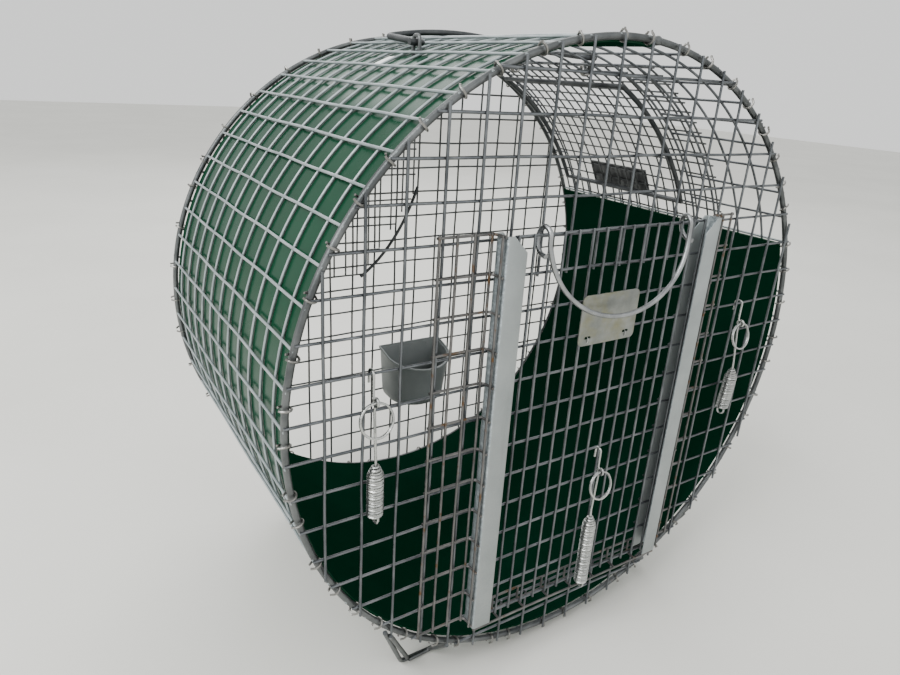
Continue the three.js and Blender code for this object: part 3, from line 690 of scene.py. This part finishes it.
def make_liner():
    low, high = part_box("liner")
    y0, y1 = low.y * 1000 - ORIGIN_Y, high.y * 1000 - ORIGIN_Y
    piece = sheet_round_drum("liner_sheet", 237.1, 1.6, 84.7, 381.5, y0, y1, 1.5, 20)
    finish_piece(piece, liner_outside, "cage", "liner")
    axis = Vector((0, 0, ORIGIN_Z / 1000))
    # Faces turned towards the axis take the darker copy: painted shade on the liner's inner face.
    second_finish(piece, liner_inside_painted_shade, lambda face: (face.center - axis).dot(face.normal) < -0.1)
    low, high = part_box("label_blank")
    y0, y1 = low.y * 1000 - ORIGIN_Y, high.y * 1000 - ORIGIN_Y
    sticker = sheet_round_drum("blank_sticker", 237.5, 0.25, 112.3, 115.8, y0, y1, 0.35, 8)
    finish_piece(sticker, sticker_paper, "cage", "label_blank")


# ---- the doorway --------------------------------------------------------------------------
def make_channel(name, side, node):
    """A folded C of sheet: rolled corners, a clipped top corner, then its thickness."""
    back = CHANNEL_FRONT + 13.2
    inset = 0.45
    outline = rounded([
        at(side * CHANNEL_INNER, CHANNEL_FRONT + inset, CHANNEL_BOTTOM),
        at(side * (CHANNEL_OUTER - inset), CHANNEL_FRONT + inset, CHANNEL_BOTTOM),
        at(side * (CHANNEL_OUTER - inset), back - inset, CHANNEL_BOTTOM),
        at(side * CHANNEL_INNER, back - inset, CHANNEL_BOTTOM),
    ], 1.7, 5)
    piece = open_outline(name, outline)
    height = (CHANNEL_TOP - CHANNEL_BOTTOM) / 1000
    bpy.ops.mesh.extrude_region_move(TRANSFORM_OT_translate={"value": (0, 0, height)})
    bpy.ops.mesh.select_all(action="SELECT")
    corner = at(side * (CHANNEL_INNER + 11), 0, CHANNEL_TOP)
    bpy.ops.mesh.bisect(plane_co=corner, plane_no=(-side, 0, 1), clear_outer=True)
    bpy.ops.object.mode_set(mode="OBJECT")
    apply_modifier(piece, "SOLIDIFY", thickness=0.0009, offset=0)
    tidy_mesh(piece)
    apply_modifier(piece, "BEVEL", width=0.00018, segments=2, limit_method="ANGLE")
    smooth(piece, 35)
    finish_piece(piece, zinc_flange, "cage", node)
    second_finish(piece, zinc_web, lambda face: abs(face.normal.x) > 0.7)


def make_collar(name, side, uprights, reach, node):
    """Half by one inch mesh: one leg on the front disc, one bent out along the channel."""
    face = FRONT_FACE - 1.4
    web = CHANNEL_OUTER + 1.5
    routes = []
    for k in range(13):
        z = CHANNEL_TOP - 0.5 - k * INCH
        droop = random.uniform(-0.4, 0.4)
        routes.append(rounded([
            at(side * reach, face, z),
            at(side * web, face - 0.4, z + droop * 0.3),
            at(side * web, CHANNEL_FRONT + random.uniform(-0.2, 0.8), z + droop),
        ], 7, 6))
    top, bottom = CHANNEL_TOP + 1.2, CHANNEL_TOP - 12 * INCH - 2
    for x, y in uprights:
        routes.append(wavy(at(side * x, y, bottom), at(side * x, y, top), 9, 0.3))
    piece = wires(name, routes, 0.95)
    finish_piece(piece, collar_zinc, "cage", node)


def make_sill():
    """A strip of the same mesh folded under the door."""
    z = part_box("collar_sill")[0].z * 1000 - ORIGIN_Z + 1.2
    front, back = CHANNEL_FRONT + 1.2, FRONT_FACE - 1.5
    reach = CHANNEL_OUTER - 1
    rise_reach = CHANNEL_INNER - 1.5
    routes = [
        wavy(at(-reach, front, z), at(reach, front, z), 9, 0.2),
        wavy(at(-reach, back, z), at(reach, back, z), 9, 0.2),
        wavy(at(-rise_reach, back, z + HALF_INCH), at(rise_reach, back, z + HALF_INCH), 9, 0.2),
    ]
    for k in range(-3, 4):
        x = k * INCH
        routes.append(rounded([
            at(x, front - 0.5, z + 1.2),
            at(x, back - 1.4, z + 1.2),
            at(x, back - 1.4, z + HALF_INCH + 1),
        ], 4, 4))
    piece = wires("sill_mesh", routes, 0.95)
    finish_piece(piece, collar_zinc, "cage", "collar_sill")


# ---- the door -----------------------------------------------------------------------------
def make_door():
    """Half by one inch mesh that slides in the channels."""
    routes = []
    for k in range(-7, 8):
        x = k * HALF_INCH
        start, end = at(x, DOOR_Y - 0.9, DOOR_BOTTOM - 1.6), at(x, DOOR_Y - 0.9, DOOR_TOP + 1.4)
        routes.append(wavy(start, end, 9, 0.25))
    for k in range(13):
        z = DOOR_TOP - k * INCH
        start, end = at(-DOOR_HALF - 1.5, DOOR_Y + 0.8, z), at(DOOR_HALF + 1.5, DOOR_Y + 0.8, z)
        routes.append(wavy(start, end, 9, 0.25))
    piece = wires("door_wires", routes, 0.98)
    finish_piece(piece, mesh_wire_zinc, "door", "door_mesh")


def make_door_plate():
    """A blank tag with rounded corners and two tie slots."""
    low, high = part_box("door_plate")
    middle = (low + high) / 2
    deselect()
    size = (high.x - low.x, 0.0009, high.z - low.z)
    bpy.ops.mesh.primitive_cube_add(size=1, location=middle, scale=size)
    plate = bpy.context.object
    plate.name = "blank_door_plate"
    bpy.ops.object.transform_apply(location=True, rotation=True, scale=True)
    bpy.ops.object.mode_set(mode="EDIT")
    bpy.ops.mesh.select_mode(type="EDGE")
    bpy.ops.mesh.select_all(action="DESELECT")
    bpy.ops.object.mode_set(mode="OBJECT")
    for edge in plate.data.edges:
        a, b = (plate.data.vertices[i].co for i in edge.vertices)
        edge.select = abs(a.y - b.y) > 0.0005
    bpy.ops.object.mode_set(mode="EDIT")
    bpy.ops.mesh.bevel(offset=0.004, segments=6)
    bpy.ops.object.mode_set(mode="OBJECT")
    ties = []
    for x in (middle.x - 0.019, middle.x + 0.0185):
        slot_place = (x, middle.y, low.z + 0.006)
        deselect()
        bpy.ops.mesh.primitive_cube_add(size=1, location=slot_place, scale=(0.006, 0.01, 0.0022))
        cutter = bpy.context.object
        bpy.ops.object.transform_apply(location=True, rotation=True, scale=True)
        apply_modifier(cutter, "BEVEL", width=0.001, segments=3)
        apply_modifier(plate, "BOOLEAN", operation="DIFFERENCE", object=cutter, solver="EXACT")
        bpy.data.objects.remove(cutter)
        loop = []
        for i in range(20):
            turn = 2 * math.pi * i / 20
            loop.append(Vector((
                x + 0.0004 * math.sin(turn),
                middle.y + 0.0012 + 0.0022 * math.cos(turn),
                slot_place[2] - 0.0022 + 0.0026 * math.sin(turn),
            )))
        ties.append(loop)
    apply_modifier(plate, "BEVEL", width=0.00022, segments=2, limit_method="ANGLE")
    smooth(plate, 40)
    finish_piece(plate, plate_metal, "door", "door_plate")
    piece = wires("plate_ties", ties, 0.4, sides=6, closed=True)
    finish_piece(piece, bright_zinc, "door")


def make_door_bail():
    """A lifting loop whose ends are wound round the door's top wire."""
    half, drop, lean = 67.0, 59.0, 11.0
    steps = 40
    eye = rounded([
        at(-half - 3.4, DOOR_Y - 6.4, DOOR_TOP - 12.8), at(-half - 3.4, DOOR_Y - 0.4, DOOR_TOP - 12.2),
        at(-half - 2.6, DOOR_Y + 4.3, DOOR_TOP - 7), at(-half - 1.4, DOOR_Y + 4.9, DOOR_TOP + 1.5),
        at(-half - 0.5, DOOR_Y + 0.8, DOOR_TOP + 6.2), at(-half, DOOR_Y - 5.2, DOOR_TOP + 2.6),
        at(-half, DOOR_Y - 5.4, DOOR_TOP - 6),
    ], 5, 5)
    route = list(eye)
    for i in range(2, steps - 1):
        t = 2 * i / steps - 1
        x = half * math.sin(t * math.pi / 2)
        fall = math.cos(t * math.pi / 2) ** 0.9
        route.append(at(x, DOOR_Y - 4.3 - lean * fall, DOOR_TOP - drop * fall))
    mirror = []
    for place in reversed(eye):
        mirror.append(Vector((-place.x, place.y, place.z)))
    piece = wires("door_bail_loop", [route + mirror], 1.75, sides=10)
    finish_piece(piece, bail_zinc, "door_bail", "door_bail")


# ---- the spring hooks -----------------------------------------------------------------------
def coil(x, y, low, high, radius, wire, top_taper):
    """Close coils from low to high, drawn in towards the top."""
    pitch = wire * 2.08
    turns = (high - low) / pitch
    count = round(turns * 14)
    route = []
    for i in range(count + 1):
        z = low + (high - low) * i / count
        near_top = max(0.0, 1 - (high - z) / top_taper)
        r = radius - (radius - 1.4) * near_top ** 1.4
        turn = 2 * math.pi * turns * i / count
        route.append(at(x + r * math.cos(turn), y + r * math.sin(turn), z))
    return route


def make_spring_set(side, x, top, shank_y, over, spring_top, spring_low, spring_y, curve=0.0):
    body = "hook_" + side
    eye_z = top - 16.5
    eye_y = shank_y - 2.4
    wire = 0.9
    tip_y = shank_y + 2 * over
    shank = rounded([
        at(x, tip_y + 0.3, top - 6.5),
        at(x, tip_y, top + over),
        at(x, shank_y, top + over),
        at(x, shank_y, eye_z + 3.5),
    ], 3.2, 6)
    for i in range(1, 14):
        turn = math.radians(90 - 28 * i)
        route_y = eye_y + 2.7 * math.cos(turn)
        shank.append(at(x + 0.09 * i, route_y, eye_z + 2.7 * math.sin(turn)))
    shank.append(at(x + 0.6, shank_y - 0.6, eye_z - 6))
    shank.append(at(x, spring_y + 0.4, spring_top + 6))
    shank.append(at(x, spring_y, spring_top - 0.5))
    hook = wires(body + "_wire", [shank], wire, sides=8)
    finish_piece(hook, bright_zinc, body, body)

    lean = math.radians(14)
    loop = 11.2
    route = []
    for i in range(97):
        turn = 2 * math.pi * 2 * i / 96 + 0.9
        down = loop * (1 - math.cos(turn))
        step = (i / 96 - 0.5) * 1.7
        across = loop * math.sin(turn)
        out = down * math.sin(lean) + step * math.cos(lean)
        fall = down * math.cos(lean) - step * math.sin(lean)
        route.append(at(x + across, eye_y - 0.3 - out, eye_z - fall))
    ring = wires("split_ring_" + side, [route], 0.78, sides=8)
    finish_piece(ring, bright_zinc, "pull_ring_" + side, "ring_" + side)

    outer = 5.75 - 0.85
    coils = coil(x, spring_y, spring_low + 5, spring_top, outer, 0.85, 8)
    end = []
    for i in range(15):
        turn = math.radians(80 - 26 * i)
        forward, up = 3.0 * math.cos(turn), 3.0 * math.sin(turn)
        end.append(at(x + 0.12 * i, spring_y + 0.6 + forward, spring_low + 1.6 + up))
    if curve:
        for place in coils + end:
            height = place.z - at(0, 0, spring_low).z
            share = height * 1000 / (spring_top - spring_low)
            place.x -= curve / 1000 * (1 - min(1, max(0, share))) ** 1.6
    spring = wires("coil_spring_" + side, [coils, end], 0.85, sides=6)
    spring.data.materials.clear()
    spring.data.materials.append(bright_zinc)
    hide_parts("spring_" + side)
    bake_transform(spring)


def make_spring_hooks():
    low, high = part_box("spring_left")
    parked = dict(
        top=1.5 * INCH, shank_y=-4.0, over=3.2,
        spring_top=high.z * 1000 - ORIGIN_Z, spring_low=-2.5 * INCH,
        spring_y=(low.y + high.y) * 500 - ORIGIN_Y,
    )
    make_spring_set("left", -185, **parked)
    make_spring_set("right", 169, curve=4.0, **parked)
    low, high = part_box("spring_centre")
    make_spring_set(
        "centre", 7, top=-59, shank_y=-17.4, over=2.6,
        spring_top=high.z * 1000 - ORIGIN_Z, spring_low=low.z * 1000 - ORIGIN_Z - 3.5,
        spring_y=(low.y + high.y) * 500 - ORIGIN_Y,
    )


# ---- the carry handle and the stands ----------------------------------------------------------
def make_carry_handle():
    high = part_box("carry_handle")[1]
    clip_low, clip_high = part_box("handle_clip_left")
    pivot_y = (clip_low.y + clip_high.y) * 500 - ORIGIN_Y
    pivot_z, bow = 230.0, 6.9
    reach = high.y * 1000 - ORIGIN_Y - 2.5
    rest_z = high.z * 1000 - ORIGIN_Z - 2.5
    end = high.x * 1000
    crossbar = []
    for i in range(9):
        share = i / 4 - 1
        crossbar.append(at(HANDLE_CORNER_X * share, reach, rest_z - bow * share * share))
    route = rounded([
        at(-end, pivot_y, pivot_z), at(-HANDLE_ARM_X, pivot_y, pivot_z), *crossbar,
        at(HANDLE_ARM_X, pivot_y, pivot_z), at(end, pivot_y, pivot_z),
    ], 8, 6)
    piece = wires("carry_handle_rod", [route], 2.5, sides=14)
    finish_piece(piece, handle_zinc, "carry_handle", "carry_handle")
    for side, way in (("left", -1), ("right", 1)):
        x = way * STAPLE_X
        foot = chord(240.2, STAPLE_X) - 3.5
        staple = rounded([
            at(x + way * 1.5, pivot_y - 1.5, foot - 1.2), at(x, pivot_y - 4.7, foot),
            at(x, pivot_y - 4.7, pivot_z + 4.7), at(x, pivot_y + 4.7, pivot_z + 4.7),
            at(x, pivot_y + 4.7, foot), at(x - way * 1.5, pivot_y + 1.5, foot - 1.2),
        ], 4.5, 6)
        clip = wires("handle_staple_" + side, [staple], 1.5, sides=8)
        finish_piece(clip, ring_zinc, "cage", "handle_clip_" + side)


def make_stand(name, node, ring_y, inward):
    """Two wires side by side: a bar on the floor, legs up to the ring, and braces."""
    low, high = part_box(node)
    bar_y = (low.y if inward < 0 else high.y) * 1000 - ORIGIN_Y - inward * 2
    bar_z = low.z * 1000 - ORIGIN_Z + 2
    top_x = high.x * 1000 - 1.5
    top_z = high.z * 1000 - ORIGIN_Z - 1
    half = 137
    bar = rounded([
        at(-top_x, ring_y, top_z), at(-half, bar_y, bar_z),
        at(half, bar_y, bar_z), at(top_x, ring_y, top_z),
    ], 5, 6)
    routes = [bar]
    for side in (-1, 1):
        brace_top = -chord(RING_RADIUS + 4.8, 112)
        routes.append(rounded([
            at(side * 112, ring_y, brace_top), at(side * 109.5, bar_y - inward * 0.6, bar_z + 0.4),
            at(side * 120, bar_y - inward * 1.2, bar_z + 0.4),
            at(side * (half - 6), bar_y - inward * 2.6, bar_z + 1.5),
        ], 5, 5))
        leg_top = at(side * (top_x - 4.5), ring_y, top_z - 5)
        routes.append([at(side * (half - 5), bar_y - inward * 1.4, bar_z + 3), leg_top])
    piece = wires(name, routes, 1.9, sides=10)
    finish_piece(piece, ring_zinc, "cage", node)


# ---- the side hatch -----------------------------------------------------------------------------
def make_hatch():
    """Half inch mesh over the window, hinged along its top wire."""
    first, last, y0, y1 = 18.4, WINDOW_HIGH, 3 * INCH, 296.0
    routes = []
    for k in range(18):
        y = y0 + (y1 - y0) * k / 17
        routes.append([
            round_drum(HATCH_HOOP_RADIUS, first - 0.6 + (last + 0.9 - first) * i / 24, y)
            for i in range(25)
        ])
    for k in range(17):
        degrees = first + (last - first) * k / 16
        start = round_drum(HATCH_BAR_RADIUS, degrees, y0 - 2)
        end = round_drum(HATCH_BAR_RADIUS, degrees, y1 + 2)
        routes.append(wavy(start, end, 12, 0.25))
    piece = wires("hatch_wires", routes, 0.85, sides=6)
    finish_piece(piece, hatch_zinc, "hatch", "hatch_mesh")


def make_hatch_plate():
    """A folded plate on the hatch, its lower edge turned out as a grip."""
    low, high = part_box("hatch_plate")
    y0, y1 = low.y * 1000 - ORIGIN_Y, high.y * 1000 - ORIGIN_Y
    turn = math.radians(27.6)
    out = Vector((math.cos(turn), 0, math.sin(turn)))
    up = Vector((-math.sin(turn), 0, math.cos(turn)))
    face = 246.6
    outline = []
    for r, z in ((face + 6, -15), (face + 0.4, -15), (face + 0.4, 15)):
        outline.append(at(0, y0, 0) + out * r / 1000 + up * z / 1000)
    outline = rounded(outline, 1.6, 4)
    piece = open_outline("hatch_grip_plate", outline)
    bpy.ops.mesh.extrude_region_move(TRANSFORM_OT_translate={"value": (0, (y1 - y0) / 1000, 0)})
    bpy.ops.object.mode_set(mode="OBJECT")
    apply_modifier(piece, "SOLIDIFY", thickness=0.001, offset=0)
    tidy_mesh(piece)
    apply_modifier(piece, "BEVEL", width=0.0002, segments=2, limit_method="ANGLE")
    smooth(piece, 40)
    finish_piece(piece, hatch_metal, "hatch", "hatch_plate")


def make_hatch_frame():
    """A rod frame inside the wrap, round the window."""
    radius = 233.6
    first, last = WINDOW_LOW + 0.6, WINDOW_HIGH - 3
    front, back = WINDOW_FRONT + 10.3, WINDOW_BACK + 2.3
    corners = []
    for i in range(13):
        corners.append(round_drum(radius, first + (last - first) * i / 12, front))
    for i in range(13):
        corners.append(round_drum(radius, last + (first - last) * i / 12, back))
    piece = wires("hatch_frame_rod", [corners], 2.3, sides=10, closed=True)
    finish_piece(piece, handle_zinc, "cage", "hatch_frame")
    middle = round_drum(241.6, WINDOW_HIGH, 0)
    for side, y in (("front", 153), ("back", 256.5)):
        loops = []
        for i in range(57):
            turn = 2 * math.pi * 2.4 * i / 56
            place = Vector((middle.x, 0, middle.z))
            loops.append(Vector((
                place.x + 0.0055 * math.cos(turn),
                (y + ORIGIN_Y + (i / 56 - 0.5) * 5) / 1000,
                place.z + 0.0055 * math.sin(turn),
            )))
        clip = wires("hatch_hinge_clip_" + side, [loops], 0.95, sides=6)
        finish_piece(clip, clip_zinc, "cage", "hatch_hinge_" + side)


# ---- inside the back of the drum ------------------------------------------------------------------
def make_rear_panel():
    """Half by one inch mesh in the upper left of the back, with one corner cut off."""
    low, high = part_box("rear_panel")
    y = (low.y + high.y) * 500 - ORIGIN_Y
    right, bottom = high.x * 1000 - 1, low.z * 1000 - ORIGIN_Z + 1
    reach = 231.0
    cut_x, cut_z = -56.0, 91.0
    slope = (cut_z - bottom) / (right - cut_x)
    routes = []
    for k in range(19):
        x = right - k * HALF_INCH
        start = bottom if x < cut_x else bottom + (x - cut_x) * slope
        routes.append(wavy(at(x, y + 0.8, start - 1), at(x, y + 0.8, chord(reach, x)), 12, 0.3))
    for k in range(9):
        z = bottom + k * INCH
        end = right if z > cut_z else cut_x + (z - bottom) / slope
        routes.append(wavy(at(-chord(reach, z), y - 0.8, z), at(end + 1, y - 0.8, z), 12, 0.3))
    piece = wires("rear_panel_wires", routes, 0.9, sides=6)
    finish_piece(piece, back_wire_zinc, "cage", "rear_panel")
    low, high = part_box("rear_panel_rod")
    rod_y = (low.y + high.y) * 500 - ORIGIN_Y
    ends = (at(4, rod_y, 98), at(-17, rod_y, 37), at(-60, rod_y, 7))
    route = []
    for i in range(13):
        t = i / 12
        route.append(ends[0] * (1 - t) ** 2 + ends[1] * 2 * t * (1 - t) + ends[2] * t * t)
    rod = wires("rear_panel_edge_rod", [route], 1.6, sides=8)
    finish_piece(rod, handle_zinc, "cage", "rear_panel_rod")


def make_cup():
    """A half-round cup: an outline drawn up and out, a wall, a lip and two hooks."""
    low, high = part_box("feed_cup")
    middle = (low.x + high.x) * 500
    depth_of_cup, rim_drop = 54.0, 14.0
    back = low.y * 1000 - ORIGIN_Y + depth_of_cup
    bottom, top = low.z * 1000 - ORIGIN_Z, high.z * 1000 - ORIGIN_Z
    straight = depth_of_cup * 0.35
    outline = [(-CUP_HALF_WIDTH, 0.0), (-CUP_HALF_WIDTH, straight - 0.5)]
    for i in range(1, 24):
        turn = math.pi - math.pi * i / 24
        bulge = (depth_of_cup - straight - 0.5) * math.sin(turn)
        outline.append((CUP_HALF_WIDTH * math.cos(turn), straight + bulge))
    outline += [(CUP_HALF_WIDTH, straight - 0.5), (CUP_HALF_WIDTH, 0.0)]
    deselect()
    bpy.ops.mesh.primitive_circle_add(vertices=len(outline), radius=1, fill_type="NGON")
    cup = bpy.context.object
    cup.name = "cup_shell"
    bottom_scale = 0.66
    for vertex, (x, depth) in zip(cup.data.vertices, outline):
        vertex.co = at(middle + x * bottom_scale, back - depth * bottom_scale, bottom)
    anchor = at(middle, back, bottom)
    bpy.ops.object.mode_set(mode="EDIT")
    bpy.ops.mesh.select_all(action="SELECT")
    levels = (
        (bottom + 2, 1.17), (bottom + 6, 1.09), (bottom + 12, 1.055), (bottom + 20, 1.02),
        (top - 3.2, 1.09), (top - 3, 1.045), (top, 1.0),
    )
    height = bottom
    for level, grow in levels:
        rise = (0, 0, (level - height) / 1000)
        bpy.ops.mesh.extrude_region_move(TRANSFORM_OT_translate={"value": rise})
        bpy.ops.transform.resize(value=(grow, grow, 1), center_override=anchor)
        height = level
    bpy.ops.mesh.delete(type="ONLY_FACE")
    bpy.ops.object.mode_set(mode="OBJECT")
    tidy_mesh(cup)
    limit = at(0, back, 0).y
    for vertex in cup.data.vertices:
        forward = max(0.0, (limit - vertex.co.y) * 1000 / depth_of_cup)
        height = (vertex.co.z - at(0, 0, bottom).z) * 1000 / (top - bottom)
        vertex.co.z -= rim_drop / 1000 * forward * height
        vertex.co.y = min(vertex.co.y, limit)
    apply_modifier(cup, "SOLIDIFY", thickness=0.0018, offset=-1)
    apply_modifier(cup, "BEVEL", width=0.0005, segments=2, limit_method="ANGLE", angle_limit=0.6)
    pieces = [cup]
    row = -3.5 * INCH
    for x in (middle - 12.5, middle + 19.5):
        hook = rounded([
            at(x, back - 1, top - 8), at(x, back - 1, row + 2.6), at(x, BACK_FACE + 1.6, row + 2.6),
            at(x, BACK_FACE + 1.6, row - 5),
        ], 1.8, 4)
        strip = wires("cup_hook", [hook], 0.9, sides=8)
        deselect()
        strip.select_set(True)
        bpy.context.view_layer.objects.active = strip
        bpy.ops.object.mode_set(mode="EDIT")
        bpy.ops.mesh.select_all(action="SELECT")
        bpy.ops.transform.resize(value=(4.6, 1, 1), center_override=at(x, back, row))
        bpy.ops.object.mode_set(mode="OBJECT")
        pieces.append(strip)
    piece = join("cup_shell", pieces)
    smooth(piece, 40)
    finish_piece(piece, cup_plastic, "feed_cup", "feed_cup")


# ---- the stage ------------------------------------------------------------------------------------
def make_stage():
    deselect()
    bpy.ops.mesh.primitive_plane_add(size=14, location=(0, 0, 0))
    floor = bpy.context.object
    floor.name = "floor"
    finish = Finish("pale floor", 0.55, 0)
    masks = finish.group(patches_group, Patch_Scale=2.5, Speck_Scale=300)
    finish.colour(finish.mix(masks.outputs["Patches"], (0.70, 0.695, 0.65), (0.74, 0.735, 0.69)))
    floor.data.materials.append(finish.material)

    world = bpy.data.worlds.new("soft studio")
    bpy.context.scene.world = world
    world.use_nodes = True
    background = world.node_tree.nodes["Background"]
    background.inputs["Color"].default_value = (0.86, 0.87, 0.86, 1)
    background.inputs["Strength"].default_value = 1.3

    for name, place, target, size, power in (
        ("window light", (-1.7, -0.4, 1.9), (0, 0, 0.2), 1.4, 60),
        ("front fill", (0.6, -2.4, 1.4), (0, 0, 0.25), 1.8, 12),
        ("back light", (0.8, 1.9, 1.8), (0, 0, 0.3), 1.8, 26),
    ):
        deselect()
        bpy.ops.object.light_add(type="AREA", location=place)
        lamp = bpy.context.object
        lamp.name = name
        lamp.data.size = size
        lamp.data.energy = power
        aim = Vector(target) - Vector(place)
        lamp.rotation_euler = aim.to_track_quat("-Z", "Y").to_euler()


def make_camera():
    """The eye is to the front left of the drum and above it, the camera a little rolled."""
    yaw, dip, roll = math.radians(33.308), math.radians(21.443), math.radians(3.659)
    eye = at(-349.36, -334.53, 210.48)
    forward = Vector((math.cos(dip) * math.sin(yaw), math.cos(dip) * math.cos(yaw), -math.sin(dip)))
    level = forward.cross(Vector((0, 0, 1))).normalized()
    upright = level.cross(forward)
    right = level * math.cos(roll) + upright * math.sin(roll)
    up = upright * math.cos(roll) - level * math.sin(roll)
    turn = Matrix((right, up, -forward)).transposed().to_4x4()
    deselect()
    bpy.ops.object.camera_add()
    camera = bpy.context.object
    camera.matrix_world = Matrix.Translation(eye) @ turn
    camera.data.sensor_width = 36
    camera.data.angle = math.radians(67.593)
    camera.data.clip_start = 0.01
    bpy.context.scene.camera = camera


make_front_disc()
make_back_disc()
make_ring("front_ring_rod", RING_FRONT_Y, 85.2, "front_ring")
make_ring("back_ring_rod", RING_BACK_Y, 262, "back_ring")
make_ring_clips()
make_wrap()
make_liner()
make_channel("left_channel_sheet", -1, "channel_left")
make_channel("right_channel_sheet", 1, "channel_right")
make_collar(
    "left_collar_mesh", -1,
    [(144.2, -4.6), (131.5, -4.6), (118.8, -4.6), (106.2, -4.9), (104.4, CHANNEL_FRONT + 2)],
    145.2, "collar_left",
)
make_collar(
    "right_collar_mesh", 1,
    [(127.0, -4.6), (114.3, -4.6), (105.5, -5.2), (104.4, CHANNEL_FRONT + 2)],
    130.5, "collar_right",
)
make_sill()
make_door()
make_door_plate()
make_door_bail()
make_spring_hooks()
make_carry_handle()
make_stand("front_stand_wire", "front_stand", RING_FRONT_Y, 1)
make_stand("back_stand_wire", "back_stand", RING_BACK_Y, -1)
make_hatch()
make_hatch_plate()
make_hatch_frame()
make_rear_panel()
make_cup()
make_stage()
make_camera()
